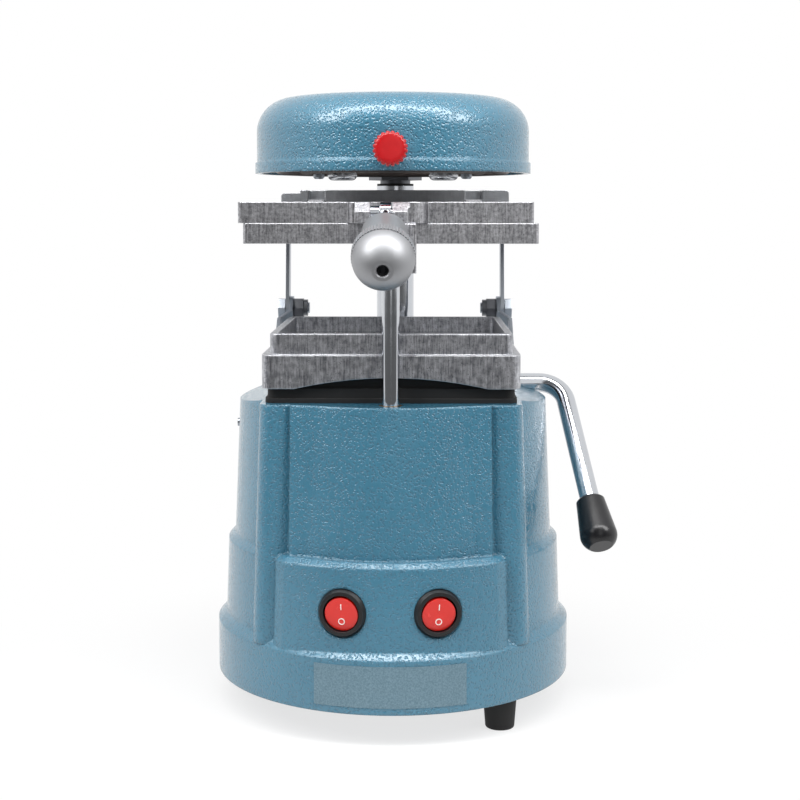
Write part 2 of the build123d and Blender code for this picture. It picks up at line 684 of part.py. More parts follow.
with BuildPart() as motor_case:
    with BuildSketch(Plane.XY.offset(CASE_BOTTOM)) as case_section:
        Circle(MOTOR_CASE_D / 2)
    extrude(amount=MOTOR_CASE_HEIGHT)
    with BuildSketch(Plane.XY.offset(CASE_BOTTOM + SHEET_STEEL)) as case_inner_section:
        Circle(MOTOR_CASE_D / 2 - SHEET_STEEL)
    extrude(amount=MOTOR_CASE_HEIGHT - 2 * SHEET_STEEL, mode=Mode.SUBTRACT)
    with BuildSketch(Plane.XY.offset(CASE_TOP - SHEET_STEEL)) as case_inlet_section:
        Circle(SUCTION_BORE / 2)
    extrude(amount=SHEET_STEEL, mode=Mode.SUBTRACT)
    with BuildSketch(Plane.XY.offset(CASE_BOTTOM)) as case_outlet_section:
        Circle(MOTOR_SHAFT_D / 2 + SIDE_CLEAR)
        with PolarLocations(MOTOR_CASE_D / 2 - MOTOR_VENT_INSET, 8):
            Circle(MOTOR_VENT_D / 2)
    extrude(amount=SHEET_STEEL, mode=Mode.SUBTRACT)
motor_case.part.label = "motor_case"
export_step(motor_case.part, "parts/motor_case.step")

with BuildPart() as motor_clamp:
    with BuildSketch(Plane.XY.offset(CLAMP_BOTTOM)) as clamp_ring_section:
        Circle(MOTOR_CASE_D / 2 + MOTOR_RIM)
        Circle(STATOR_BORE_R + 4, mode=Mode.SUBTRACT)
        with Locations((0, ROD_Y)):
            Circle(ROD_D / 2 + 2 * SIDE_CLEAR, mode=Mode.SUBTRACT)
        with PolarLocations(MOTOR_CASE_D / 2 - MOTOR_VENT_INSET, 8):
            Circle(MOTOR_VENT_D / 2 + SIDE_CLEAR, mode=Mode.SUBTRACT)
    extrude(amount=MOTOR_CLAMP_THICK)
    with BuildSketch(Plane.XY.offset(CASE_BOTTOM)) as clamp_post_section:
        with PolarLocations(MOTOR_CASE_D / 2 + MOTOR_VENT_D, 3, start_angle=90):
            Circle(MOTOR_VENT_D / 2)
    extrude(amount=RING_BOTTOM - CASE_BOTTOM)
motor_clamp.part.label = "motor_clamp"
export_step(motor_clamp.part, "parts/motor_clamp.step")

with BuildPart() as motor_stator:
    with BuildSketch(Plane.XY.offset(CLAMP_BOTTOM - MOTOR_BODY_LENGTH)) as stator_section:
        Circle(MOTOR_BODY_D / 2)
        Circle(STATOR_BORE_R, mode=Mode.SUBTRACT)
    extrude(amount=MOTOR_BODY_LENGTH)
    with BuildSketch(Plane.XY.offset(CLAMP_BOTTOM - MOTOR_BODY_LENGTH)) as end_bell_section:
        Circle(STATOR_BORE_R)
        Circle(MOTOR_SHAFT_D / 2 + RUNNING, mode=Mode.SUBTRACT)
    extrude(amount=4)
motor_stator.part.label = "motor_stator"
export_step(motor_stator.part, "parts/motor_stator.step")

with BuildPart() as motor_rotor:
    with BuildSketch(Plane.XY.offset(CLAMP_BOTTOM - MOTOR_BODY_LENGTH + 1)) as rotor_shaft_section:
        Circle(MOTOR_SHAFT_D / 2)
    extrude(amount=FAN_Z + FAN_HEIGHT + 3 - CLAMP_BOTTOM + MOTOR_BODY_LENGTH)
    with BuildSketch(Plane.XY.offset(CLAMP_BOTTOM - MOTOR_BODY_LENGTH + 12)) as armature_section:
        Circle(STATOR_BORE_R - SIDE_CLEAR)
    extrude(amount=MOTOR_BODY_LENGTH - 24)
    for fan_z in (FAN_Z, FAN_Z + FAN_HEIGHT - 1.5):
        with BuildSketch(Plane.XY.offset(fan_z)) as fan_disc_section:
            Circle(FAN_D / 2)
        extrude(amount=1.5)
    with BuildSketch(Plane.XY.offset(FAN_Z)) as fan_blade_section:
        with PolarLocations(FAN_D / 4 + 6, 8):
            Rectangle(FAN_D / 2 - 14, 1.6, rotation=25)
    extrude(amount=FAN_HEIGHT)
motor_rotor.part.label = "motor_rotor"
export_step(motor_rotor.part, "parts/motor_rotor.step")

# ---------------------------------------------------------------- pad, tray and screen
PLUG_HALF = TRAY_HALF - TRAY_WALL - CLEAR

with BuildPart() as gasket_pad:
    for pad_z, pad_half, pad_rise in (
        (SEAT_Z, PAD_HALF + PAD_LIP, PAD_LIP_HEIGHT),
        (SEAT_Z, PAD_HALF, PAD_HEIGHT),
        (PAD_TOP, PLUG_HALF, PAD_PLUG_HEIGHT),
    ):
        with BuildSketch(Plane.XY.offset(pad_z)) as pad_section:
            RectangleRounded(2 * pad_half, 2 * pad_half, TRAY_ROUND - 1)
        extrude(amount=pad_rise)
    with BuildSketch(Plane.XY.offset(SEAT_Z)) as pad_bore_section:
        Circle(SUCTION_BORE / 2)
    extrude(amount=PAD_HEIGHT + PAD_PLUG_HEIGHT, mode=Mode.SUBTRACT)
    with BuildSketch(Plane.XY.offset(SEAT_Z)) as pad_channel_section:
        with Locations((0, SHAFT_Y)):
            Rectangle(4 * PAD_HALF, SHAFT_D + 2 * SIDE_CLEAR)
    extrude(amount=SHAFT_Z + SHAFT_D / 2 + CLEAR - SEAT_Z, mode=Mode.SUBTRACT)
    with BuildSketch(Plane.XY.offset(SEAT_Z)) as pad_rod_section:
        with Locations((0, ROD_Y)):
            Circle(ROD_D / 2 + SIDE_CLEAR)
    extrude(amount=PAD_HEIGHT, mode=Mode.SUBTRACT)
gasket_pad.part.label = "gasket_pad"
export_step(gasket_pad.part, "parts/gasket_pad.step")

with BuildPart() as tray:
    with BuildSketch(Plane.XY.offset(PAD_TOP)) as skirt_section:
        RectangleRounded(2 * TRAY_HALF, 2 * TRAY_HALF, TRAY_ROUND)
    extrude(amount=TRAY_SKIRT_HEIGHT)
    with BuildSketch(Plane.XY.offset(TRAY_STEP_Z)) as rim_section:
        RectangleRounded(2 * RIM_HALF, 2 * RIM_HALF, TRAY_ROUND - 1)
    extrude(amount=RIM_HEIGHT)
    fillet(tray.edges().group_by(Axis.Z)[-1], 0.6)
    with BuildSketch(Plane.XY.offset(TRAY_STEP_Z)) as well_section:
        RectangleRounded(2 * (RIM_HALF - RIM_WALL), 2 * (RIM_HALF - RIM_WALL), TRAY_ROUND - 3)
    extrude(amount=RIM_HEIGHT, mode=Mode.SUBTRACT)
    with BuildSketch(Plane.XY.offset(PAD_TOP)) as under_section:
        RectangleRounded(2 * (TRAY_HALF - TRAY_WALL), 2 * (TRAY_HALF - TRAY_WALL), TRAY_ROUND - 2)
    extrude(amount=TRAY_SKIRT_HEIGHT - TRAY_FLOOR, mode=Mode.SUBTRACT)
    for arch_plane in (Plane.XZ, Plane.YZ):
        with BuildSketch(arch_plane) as arch_section:
            with BuildLine() as arch_line:
                ThreePointArc(
                    (-TRAY_CORNER_FLAT, PAD_TOP), (0, PAD_TOP + TRAY_ARCH), (TRAY_CORNER_FLAT, PAD_TOP)
                )
                Line((-TRAY_CORNER_FLAT, PAD_TOP), (TRAY_CORNER_FLAT, PAD_TOP))
            make_face()
        extrude(amount=2 * TRAY_HALF, both=True, mode=Mode.SUBTRACT)
    with BuildSketch(Plane.XY.offset(TRAY_STEP_Z)) as sump_section:
        Circle(RIM_HALF - RIM_WALL - 6)
    extrude(amount=-TRAY_FLOOR / 2, mode=Mode.SUBTRACT)
    with BuildSketch(Plane.XY.offset(TRAY_STEP_Z)) as tray_bore_section:
        Circle(SUCTION_BORE / 2)
    extrude(amount=-TRAY_FLOOR, mode=Mode.SUBTRACT)
tray.part.label = "tray"
export_step(tray.part, "parts/tray.step")

with BuildPart() as perforated_plate:
    with BuildSketch(Plane.XY.offset(TRAY_STEP_Z)) as screen_section:
        screen_side = 2 * (RIM_HALF - RIM_WALL - RUNNING)
        RectangleRounded(screen_side, screen_side, TRAY_ROUND - 3)
        with GridLocations(SCREEN_PITCH, SCREEN_PITCH, SCREEN_ROWS, SCREEN_ROWS):
            Circle(SCREEN_HOLE_D / 2, mode=Mode.SUBTRACT)
    extrude(amount=SCREEN_THICK)
perforated_plate.part.label = "perforated_plate"
export_step(perforated_plate.part, "parts/perforated_plate.step")

# ---------------------------------------------------------------- column and front rod
ROD_TOP = BLOCK_BOTTOM + 15.0

with BuildPart() as column:
    with BuildSketch(Plane.XY.offset(COLUMN_BOTTOM)) as column_section:
        with Locations((0, COLUMN_Y)):
            Circle(COLUMN_D / 2)
    extrude(amount=COLUMN_TOP - COLUMN_BOTTOM)
    with BuildSketch(Plane.XY.offset(COLUMN_BOTTOM + COLUMN_PLUG)) as column_bore_section:
        with Locations((0, COLUMN_Y)):
            Circle(COLUMN_BORE / 2)
    extrude(amount=COLUMN_TOP - COLUMN_BOTTOM - COLUMN_PLUG, mode=Mode.SUBTRACT)
    with BuildSketch(Plane.XY.offset(COLUMN_BOTTOM)) as column_thread_section:
        with Locations((0, COLUMN_Y)):
            Circle(COLUMN_BOLT_D / 2)
    extrude(amount=COLUMN_PLUG, mode=Mode.SUBTRACT)
column.part.label = "column"
export_step(column.part, "parts/column.step")

with BuildPart() as column_bolt:
    with BuildSketch(Plane.XY.offset(COLUMN_BOLT_HEAD_Z)) as column_head_section:
        with Locations((0, COLUMN_Y)):
            Circle(COLUMN_BOLT_HEAD_D / 2)
    extrude(amount=COLUMN_BOLT_D)
    with BuildSketch(Plane.XY.offset(COLUMN_BOLT_HEAD_Z)) as column_shank_section:
        with Locations((0, COLUMN_Y)):
            Circle(COLUMN_BOLT_D / 2)
    extrude(amount=COLUMN_BOTTOM + COLUMN_PLUG - 6 - COLUMN_BOLT_HEAD_Z)
    with BuildSketch(Plane.XY.offset(COLUMN_BOLT_HEAD_Z)) as column_socket_section:
        with Locations((0, COLUMN_Y)):
            RegularPolygon(radius=3.4, side_count=6)
    extrude(amount=4, mode=Mode.SUBTRACT)
column_bolt.part.label = "column_bolt"
export_step(column_bolt.part, "parts/column_bolt.step")

with BuildPart() as front_rod:
    with BuildSketch(Plane.XY.offset(ROD_END)) as rod_section:
        with Locations((0, ROD_Y)):
            Circle(ROD_D / 2)
    extrude(amount=ROD_TOP - ROD_END)
    chamfer(front_rod.edges().group_by(Axis.Z)[0], 0.8)
front_rod.part.label = "front_rod"
export_step(front_rod.part, "parts/front_rod.step")

with BuildPart() as rod_bush:
    with BuildSketch(Plane.XY.offset(SEAT_Z - ROD_BUSH_LENGTH)) as rod_bush_section:
        with Locations((0, ROD_Y)):
            Circle(ROD_D / 2 + RUNNING + ROD_BUSH_WALL)
            Circle(ROD_D / 2 + RUNNING, mode=Mode.SUBTRACT)
    extrude(amount=ROD_BUSH_LENGTH)
rod_bush.part.label = "rod_bush"
export_step(rod_bush.part, "parts/rod_bush.step")

# ---------------------------------------------------------------- sheet frames
SEAL_HALF = (FRAME_HALF + FRAME_OPENING) / 2
SLOT_FRONT = -CLAMP_PIN_Y + 1.3
CROSSHEAD_SCREW_X = 27.0
CROSSHEAD_SCREW_Z = LOWER_Z + LOWER_THICK / 2
CROSSHEAD_SCREW_END = FRAME_HALF - 8.0
SCREW_HEAD_D = 8.5
SCREW_HEAD_DEPTH = 11.0

with BuildPart() as lower_frame:
    with BuildSketch(Plane.XY.offset(LOWER_Z)) as lower_frame_section:
        RectangleRounded(2 * FRAME_HALF, 2 * FRAME_HALF, 2)
        with Locations((0, FRAME_HALF / 2 + CROSSHEAD_FRONT / 2)):
            Rectangle(2 * HINGE_X, CROSSHEAD_FRONT - FRAME_HALF + 4)
        with Locations((0, CROSSHEAD_FRONT + 10)):
            Rectangle(2 * FRAME_HALF, 20, mode=Mode.SUBTRACT)
        RectangleRounded(2 * FRAME_OPENING, 2 * FRAME_OPENING, 3, mode=Mode.SUBTRACT)
    extrude(amount=LOWER_THICK)
    with BuildSketch(Plane.XY.offset(BLOCK_BOTTOM)) as block_section:
        with Locations((0, -(BLOCK_FRONT + TRAY_HALF + SIDE_CLEAR) / 2)):
            Rectangle(2 * BLOCK_HALF, BLOCK_FRONT - TRAY_HALF - SIDE_CLEAR)
    extrude(amount=BLOCK_DEPTH)
    fillet(lower_frame.edges().filter_by(Axis.Z).group_by(Axis.Y)[0], 1.2)
    with BuildSketch(Plane.XY.offset(BLOCK_BOTTOM)) as bolt_slot_section:
        with Locations((UPPER_SHIFT, -SLOT_FRONT - 15)):
            Rectangle(BOLT_D + 1.6, 30)
    extrude(amount=BLOCK_DEPTH, mode=Mode.SUBTRACT)
    with BuildSketch(Plane.XY.offset(BLOCK_BOTTOM)) as block_rod_section:
        with Locations((0, ROD_Y)):
            Circle(ROD_D / 2)
    extrude(amount=ROD_TOP - BLOCK_BOTTOM, mode=Mode.SUBTRACT)
    with BuildSketch(Plane.XY.offset(PART_LINE)) as seal_groove_section:
        Rectangle(2 * SEAL_HALF + SEAL_WIDTH, 2 * SEAL_HALF + SEAL_WIDTH)
        Rectangle(2 * SEAL_HALF - SEAL_WIDTH, 2 * SEAL_HALF - SEAL_WIDTH, mode=Mode.SUBTRACT)
    extrude(amount=-SEAL_DEPTH, mode=Mode.SUBTRACT)
    with BuildSketch(Plane.XZ.offset(-CROSSHEAD_FRONT)) as frame_thread_section:
        with Locations((-CROSSHEAD_SCREW_X, CROSSHEAD_SCREW_Z), (CROSSHEAD_SCREW_X, CROSSHEAD_SCREW_Z)):
            Circle(FRAME_SCREW_D / 2)
    extrude(amount=CROSSHEAD_FRONT - CROSSHEAD_SCREW_END, mode=Mode.SUBTRACT)
lower_frame.part.label = "lower_frame"
export_step(lower_frame.part, "parts/lower_frame.step")

with BuildPart() as frame_seal:
    with BuildSketch(Plane.XY.offset(PART_LINE - SEAL_DEPTH)) as frame_seal_section:
        Rectangle(2 * SEAL_HALF + SEAL_WIDTH, 2 * SEAL_HALF + SEAL_WIDTH)
        Rectangle(2 * SEAL_HALF - SEAL_WIDTH, 2 * SEAL_HALF - SEAL_WIDTH, mode=Mode.SUBTRACT)
    extrude(amount=SEAL_DEPTH)
frame_seal.part.label = "frame_seal"
export_step(frame_seal.part, "parts/frame_seal.step")

FORK_TIP_Y = -FRAME_HALF - FORK_REACH
LUG_R = 4.9

with BuildPart() as upper_frame:
    with BuildSketch(Plane.XY.offset(PART_LINE + FRAME_GAP)) as upper_frame_section:
        with Locations((UPPER_SHIFT, 0)):
            RectangleRounded(2 * FRAME_HALF, 2 * FRAME_HALF, 2)
            RectangleRounded(2 * FRAME_OPENING, 2 * FRAME_OPENING, 3, mode=Mode.SUBTRACT)
    extrude(amount=UPPER_THICK)
    with BuildSketch(Plane.XY.offset(PART_LINE + FRAME_GAP)) as fork_section:
        with BuildLine() as fork_line:
            fork_left = FORK_X - FORK_HALF
            fork_right = FORK_X + FORK_HALF
            Polyline(
                (fork_left - FORK_FLARE_LEFT, -FRAME_HALF),
                (fork_left - FORK_FLARE_LEFT, -FRAME_HALF + 4),
                (fork_right + FORK_FLARE_RIGHT, -FRAME_HALF + 4),
                (fork_right + FORK_FLARE_RIGHT, -FRAME_HALF),
            )
            RadiusArc(
                (fork_right + FORK_FLARE_RIGHT, -FRAME_HALF),
                (fork_right, -FRAME_HALF - FORK_FLARE_RIGHT),
                FORK_FLARE_RIGHT,
            )
            Polyline(
                (fork_right, -FRAME_HALF - FORK_FLARE_RIGHT),
                (fork_right, FORK_TIP_Y),
                (fork_left, FORK_TIP_Y),
                (fork_left, -FRAME_HALF - FORK_FLARE_LEFT),
            )
            RadiusArc(
                (fork_left, -FRAME_HALF - FORK_FLARE_LEFT),
                (fork_left - FORK_FLARE_LEFT, -FRAME_HALF),
                FORK_FLARE_LEFT,
            )
        make_face()
    extrude(amount=UPPER_THICK)
    # top front of the fingers is chamfered
    with BuildSketch(Plane.YZ.offset(FORK_X - FORK_HALF - 1)) as fork_chamfer_section:
        with BuildLine() as fork_chamfer_line:
            Polyline(
                (FORK_TIP_Y, UPPER_TOP),
                (FORK_TIP_Y + FORK_CHAMFER, UPPER_TOP),
                (FORK_TIP_Y, UPPER_TOP - FORK_CHAMFER),
                close=True,
            )
        make_face()
    extrude(amount=2 * FORK_HALF + 2, mode=Mode.SUBTRACT)
    # gap for the bolt's eye
    with BuildSketch(Plane.XY.offset(PART_LINE)) as fork_gap_section:
        with Locations((FORK_X, (CLAMP_PIN_Y + BOLT_EYE_D / 2 + SIDE_CLEAR + FORK_TIP_Y - 1) / 2)):
            Rectangle(FORK_GAP, CLAMP_PIN_Y + BOLT_EYE_D / 2 + SIDE_CLEAR - FORK_TIP_Y + 1)
    extrude(amount=UPPER_THICK + 1, mode=Mode.SUBTRACT)
    with BuildSketch(Plane.YZ.offset(FORK_X - FORK_HALF)) as clamp_pin_hole_section:
        with Locations((CLAMP_PIN_Y, CLAMP_PIN_Z)):
            Circle(CLAMP_PIN_D / 2)
    extrude(amount=2 * FORK_HALF, mode=Mode.SUBTRACT)
    # rear hinge lugs
    for side in (-1, 1):
        with BuildSketch(Plane.YZ.offset(side * HINGE_X)) as lug_section:
            with BuildLine() as lug_line:
                Polyline(
                    (FRAME_HALF - 2, HINGE_Z - LUG_R),
                    (HINGE_Y, HINGE_Z - LUG_R),
                    (HINGE_Y, HINGE_Z + LUG_R),
                    (FRAME_HALF + 2, HINGE_Z + LUG_R),
                    (FRAME_HALF - 2, UPPER_TOP),
                    close=True,
                )
            make_face()
            with Locations((HINGE_Y, HINGE_Z)):
                Circle(LUG_R)
        extrude(amount=HINGE_LUG / 2, both=True)
        with BuildSketch(Plane.YZ.offset(side * HINGE_X)) as lug_hole_section:
            with Locations((HINGE_Y, HINGE_Z)):
                Circle(HINGE_PIN_D / 2 + RUNNING)
        extrude(amount=HINGE_LUG, both=True, mode=Mode.SUBTRACT)
upper_frame.part.label = "upper_frame"
export_step(upper_frame.part, "parts/upper_frame.step")

# ---------------------------------------------------------------- crosshead
LUG_SLOT_DEPTH = 12.0
LUG_SLOT_BOTTOM = HINGE_Z - LUG_R - 2 * CLEAR
HINGE_PIN_START = 30.0
HINGE_PIN_END = 57.5
LINK_SLOT_X = ARM_EYE_X + ARM_THICK + LINK_GAP - 0.6
LINK_SLOT_WIDTH = LINK_THICK + 1.4
LINK_EYE_R = 4.6
LINK_PIN_START = 54.0
LINK_PIN_END = CROSSHEAD_HALF - 0.4
STEP_X = 53.0
STEP_DROP = 1.6

with BuildPart() as crosshead:
    with BuildSketch(Plane.XY.offset(LOWER_Z)) as crosshead_section:
        with Locations((0, (CROSSHEAD_FRONT + CROSSHEAD_BACK) / 2)):
            Rectangle(2 * CROSSHEAD_HALF, CROSSHEAD_DEPTH)
        with Locations((0, COLUMN_Y)):
            Circle(COLUMN_Y - CROSSHEAD_FRONT)
    extrude(amount=CROSSHEAD_TOP - LOWER_Z)
    with BuildSketch(Plane.XZ.offset(-CROSSHEAD_FRONT)) as crosshead_step_section:
        with Locations((-STEP_X - 10, CROSSHEAD_TOP)):
            Rectangle(20, 2 * STEP_DROP)
    extrude(amount=-CROSSHEAD_DEPTH, mode=Mode.SUBTRACT)
    fillet(crosshead.edges().filter_by(Axis.Y).group_by(Axis.X)[0], 2.0)
    fillet(crosshead.edges().filter_by(Axis.Y).group_by(Axis.X)[-1], 2.0)
    with BuildSketch(Plane.XY.offset(LOWER_Z)) as crosshead_bore_section:
        with Locations((0, COLUMN_Y)):
            Circle(BUSH_D / 2)
    extrude(amount=CROSSHEAD_TOP - LOWER_Z, mode=Mode.SUBTRACT)
    for side in (-1, 1):
        # slot for the hinge lug
        with BuildSketch(Plane.YZ.offset(side * HINGE_X)) as lug_slot_section:
            with Locations((CROSSHEAD_FRONT + LUG_SLOT_DEPTH / 2 - 0.5, (LUG_SLOT_BOTTOM + CROSSHEAD_TOP + 1) / 2)):
                Rectangle(LUG_SLOT_DEPTH, CROSSHEAD_TOP + 1 - LUG_SLOT_BOTTOM)
        extrude(amount=HINGE_LUG / 2 + CLEAR, both=True, mode=Mode.SUBTRACT)
        with BuildSketch(Plane.YZ.offset(side * HINGE_PIN_START)) as hinge_hole_section:
            with Locations((HINGE_Y, HINGE_Z)):
                Circle(HINGE_PIN_D / 2)
        extrude(amount=side * (HINGE_PIN_END - HINGE_PIN_START), mode=Mode.SUBTRACT)
        # slot for the link and the long hole its pin runs in
        with BuildSketch(Plane.YZ.offset(side * LINK_SLOT_X)) as link_slot_section:
            with Locations((LINK_TOP_Y + 6, LOWER_Z + 8)):
                Rectangle(30, 18)
        extrude(amount=side * LINK_SLOT_WIDTH, mode=Mode.SUBTRACT)
        with BuildSketch(Plane.YZ.offset(side * (LINK_PIN_START - 1))) as long_hole_section:
            with Locations((LINK_TOP_Y + LINK_SLOT_RUN / 2, LINK_TOP_Z + LINK_SLOT_LIFT / 2)):
                RectangleRounded(
                    LINK_PIN_D + LINK_SLOT_RUN + 2 * CLEAR, LINK_PIN_D + LINK_SLOT_LIFT + 2 * CLEAR, 2.4
                )
        extrude(amount=side * 20, mode=Mode.SUBTRACT)
    with BuildSketch(Plane.XZ.offset(-CROSSHEAD_FRONT)) as crosshead_screw_section:
        with Locations((-CROSSHEAD_SCREW_X, CROSSHEAD_SCREW_Z), (CROSSHEAD_SCREW_X, CROSSHEAD_SCREW_Z)):
            Circle(FRAME_SCREW_D / 2)
    extrude(amount=-CROSSHEAD_DEPTH, mode=Mode.SUBTRACT)
    with BuildSketch(Plane.XZ.offset(-CROSSHEAD_BACK)) as crosshead_head_section:
        with Locations((-CROSSHEAD_SCREW_X, CROSSHEAD_SCREW_Z), (CROSSHEAD_SCREW_X, CROSSHEAD_SCREW_Z)):
            Circle(SCREW_HEAD_D / 2)
    extrude(amount=SCREW_HEAD_DEPTH, mode=Mode.SUBTRACT)
crosshead.part.label = "crosshead"
export_step(crosshead.part, "parts/crosshead.step")

with BuildPart() as crosshead_screws:
    with BuildSketch(Plane.XZ.offset(-CROSSHEAD_SCREW_END)) as frame_screw_section:
        with Locations((-CROSSHEAD_SCREW_X, CROSSHEAD_SCREW_Z), (CROSSHEAD_SCREW_X, CROSSHEAD_SCREW_Z)):
            Circle(FRAME_SCREW_D / 2)
    extrude(amount=-(CROSSHEAD_BACK - SCREW_HEAD_DEPTH - CROSSHEAD_SCREW_END))
    with BuildSketch(Plane.XZ.offset(-(CROSSHEAD_BACK - SCREW_HEAD_DEPTH))) as frame_screw_head_section:
        with Locations((-CROSSHEAD_SCREW_X, CROSSHEAD_SCREW_Z), (CROSSHEAD_SCREW_X, CROSSHEAD_SCREW_Z)):
            Circle(SCREW_HEAD_D / 2)
            RegularPolygon(radius=2.3, side_count=6, mode=Mode.SUBTRACT)
    extrude(amount=-FRAME_SCREW_D)
crosshead_screws.part.label = "crosshead_screws"
export_step(crosshead_screws.part, "parts/crosshead_screws.step")

with BuildPart() as crosshead_bush:
    with BuildSketch(Plane.XY.offset(LOWER_Z)) as bush_section:
        with Locations((0, COLUMN_Y)):
            Circle(BUSH_D / 2)
            Circle(COLUMN_D / 2 + RUNNING, mode=Mode.SUBTRACT)
    extrude(amount=CROSSHEAD_TOP - LOWER_Z)
crosshead_bush.part.label = "crosshead_bush"
export_step(crosshead_bush.part, "parts/crosshead_bush.step")

with BuildPart() as hinge_pins:
    for side in (-1, 1):
        with BuildSketch(Plane.YZ.offset(side * HINGE_PIN_START)) as hinge_pin_section:
            with Locations((HINGE_Y, HINGE_Z)):
                Circle(HINGE_PIN_D / 2)
        extrude(amount=side * (HINGE_PIN_END - HINGE_PIN_START))
hinge_pins.part.label = "hinge_pins"
export_step(hinge_pins.part, "parts/hinge_pins.step")

# ---------------------------------------------------------------- front clamp
EYE_LEFT = UPPER_SHIFT - BOLT_EYE_WIDTH / 2
FORK_GAP_LEFT = FORK_X - FORK_GAP / 2

with BuildPart() as clamp_pin:
    with BuildSketch(Plane.YZ.offset(FORK_X - FORK_HALF)) as clamp_pin_section:
        with Locations((CLAMP_PIN_Y, CLAMP_PIN_Z)):
            Circle(CLAMP_PIN_D / 2)
    extrude(amount=2 * FORK_HALF)
clamp_pin.part.label = "clamp_pin"
export_step(clamp_pin.part, "parts/clamp_pin.step")

with BuildPart() as clamp_spacer:
    with BuildSketch(Plane.YZ.offset(FORK_GAP_LEFT)) as clamp_spacer_section:
        with Locations((CLAMP_PIN_Y, CLAMP_PIN_Z)):
            Circle(CLAMP_PIN_D / 2 + 1.2)
            Circle(CLAMP_PIN_D / 2, mode=Mode.SUBTRACT)
    extrude(amount=EYE_LEFT - FORK_GAP_LEFT - CLEAR)
clamp_spacer.part.label = "clamp_spacer"
export_step(clamp_spacer.part, "parts/clamp_spacer.step")

with BuildPart() as swing_bolt:
    with BuildSketch(Plane.YZ.offset(EYE_LEFT)) as eye_section:
        with Locations((CLAMP_PIN_Y, CLAMP_PIN_Z)):
            Circle(BOLT_EYE_D / 2)
    extrude(amount=BOLT_EYE_WIDTH)
    with BuildSketch(CLAMP_PLANE.offset(BOLT_EYE_D / 2 - 0.8)) as bolt_section:
        Circle(BOLT_D / 2)
    extrude(amount=BOLT_LENGTH - BOLT_EYE_D / 2 + 0.8)
    with BuildSketch(Plane.YZ.offset(EYE_LEFT)) as eye_hole_section:
        with Locations((CLAMP_PIN_Y, CLAMP_PIN_Z)):
            Circle(CLAMP_PIN_D / 2 + RUNNING)
    extrude(amount=BOLT_EYE_WIDTH, mode=Mode.SUBTRACT)
swing_bolt.part.label = "swing_bolt"
export_step(swing_bolt.part, "parts/swing_bolt.step")

with BuildPart() as clamp_washer:
    with BuildSketch(CLAMP_PLANE.offset(KNOB_OFFSET)) as washer_section:
        Circle(WASHER_D / 2)
        Circle(BOLT_D / 2 + RUNNING, mode=Mode.SUBTRACT)
    extrude(amount=WASHER_THICK)
clamp_washer.part.label = "clamp_washer"
export_step(clamp_washer.part, "parts/clamp_washer.step")

KNOB_START = KNOB_OFFSET + WASHER_THICK
KNURL_START = KNOB_OFFSET + KNOB_NECK_LENGTH
DOME_START = KNURL_START + KNURL_LENGTH
KNOB_END = KNOB_OFFSET + KNOB_LENGTH
KNOB_R = KNOB_MAX_D / 2
NECK_R = KNOB_NECK_D / 2
KNURL_TEETH = 60

with BuildPart() as clamp_knob:
    knob_profile_plane = Plane(origin=CLAMP_PLANE.origin, x_dir=(1, 0, 0), z_dir=-CLAMP_PLANE.y_dir)
    with BuildSketch(knob_profile_plane) as knob_profile:
        with BuildLine() as knob_outline:
            Polyline(
                (KNOB_R - 0.3, DOME_START + 0.7),
                (KNOB_R - 1.1, DOME_START + 0.7),
                (KNOB_R - 1.1, DOME_START),
                (KNOB_R, DOME_START),
                (KNOB_R, KNURL_START + 1.6),
                (NECK_R + 1.5, KNURL_START),
                (NECK_R, KNURL_START - 0.6),
                (NECK_R, KNOB_START + 1.2),
                (NECK_R - 1.2, KNOB_START),
                (BOLT_D / 2 + RUNNING, KNOB_START),
                (BOLT_D / 2 + RUNNING, BOLT_LENGTH + 2),
                (KNOB_HOLE_D / 2, BOLT_LENGTH + 2),
                (KNOB_HOLE_D / 2, KNOB_END - 0.6),
                (KNOB_HOLE_D / 2 + 0.6, KNOB_END),
                (KNOB_HOLE_D / 2 + 2.0, KNOB_END),
            )
            ThreePointArc(
                (KNOB_HOLE_D / 2 + 2.0, KNOB_END),
                (KNOB_R * 0.8, DOME_START + (KNOB_END - DOME_START) * 0.62),
                (KNOB_R - 0.3, DOME_START + 0.7),
            )
        make_face()
    revolve(axis=Axis(CLAMP_PLANE.origin, CLAMP_PLANE.z_dir))
    with BuildSketch(CLAMP_PLANE.offset(KNURL_START)) as knurl_section:
        with PolarLocations(KNOB_R, KNURL_TEETH):
            Rectangle(0.7, 0.7, rotation=45)
    extrude(amount=KNURL_LENGTH, mode=Mode.SUBTRACT)
clamp_knob.part.label = "clamp_knob"
export_step(clamp_knob.part, "parts/clamp_knob.step")

# ---------------------------------------------------------------- lever and linkage
CRANK_R = sqrt((CRANK_PIN_Y - SHAFT_Y) ** 2 + (CRANK_PIN_Z - SHAFT_Z) ** 2)
CRANK_ANGLE = atan2(CRANK_PIN_Z - SHAFT_Z, CRANK_PIN_Y - SHAFT_Y)
JOGGLE_START = 42.0
JOGGLE_END = 48.0
ARM_STRIP_PLANE = Plane(
    origin=(0, SHAFT_Y, SHAFT_Z),
    x_dir=(1, 0, 0),
    z_dir=(0, -sin(CRANK_ANGLE), cos(CRANK_ANGLE)),
)
ARM_FACE_PLANE = Plane(
    origin=(0, SHAFT_Y, SHAFT_Z),
    x_dir=(0, cos(CRANK_ANGLE), sin(CRANK_ANGLE)),
    z_dir=(1, 0, 0),
)
LEVER_FORWARD = sin(radians(LEVER_FORWARD_ANGLE)) * cos(radians(LEVER_OUTWARD_ANGLE))
LEVER_DOWN = cos(radians(LEVER_FORWARD_ANGLE)) * cos(radians(LEVER_OUTWARD_ANGLE))
LEVER_OUT = sin(radians(LEVER_OUTWARD_ANGLE))
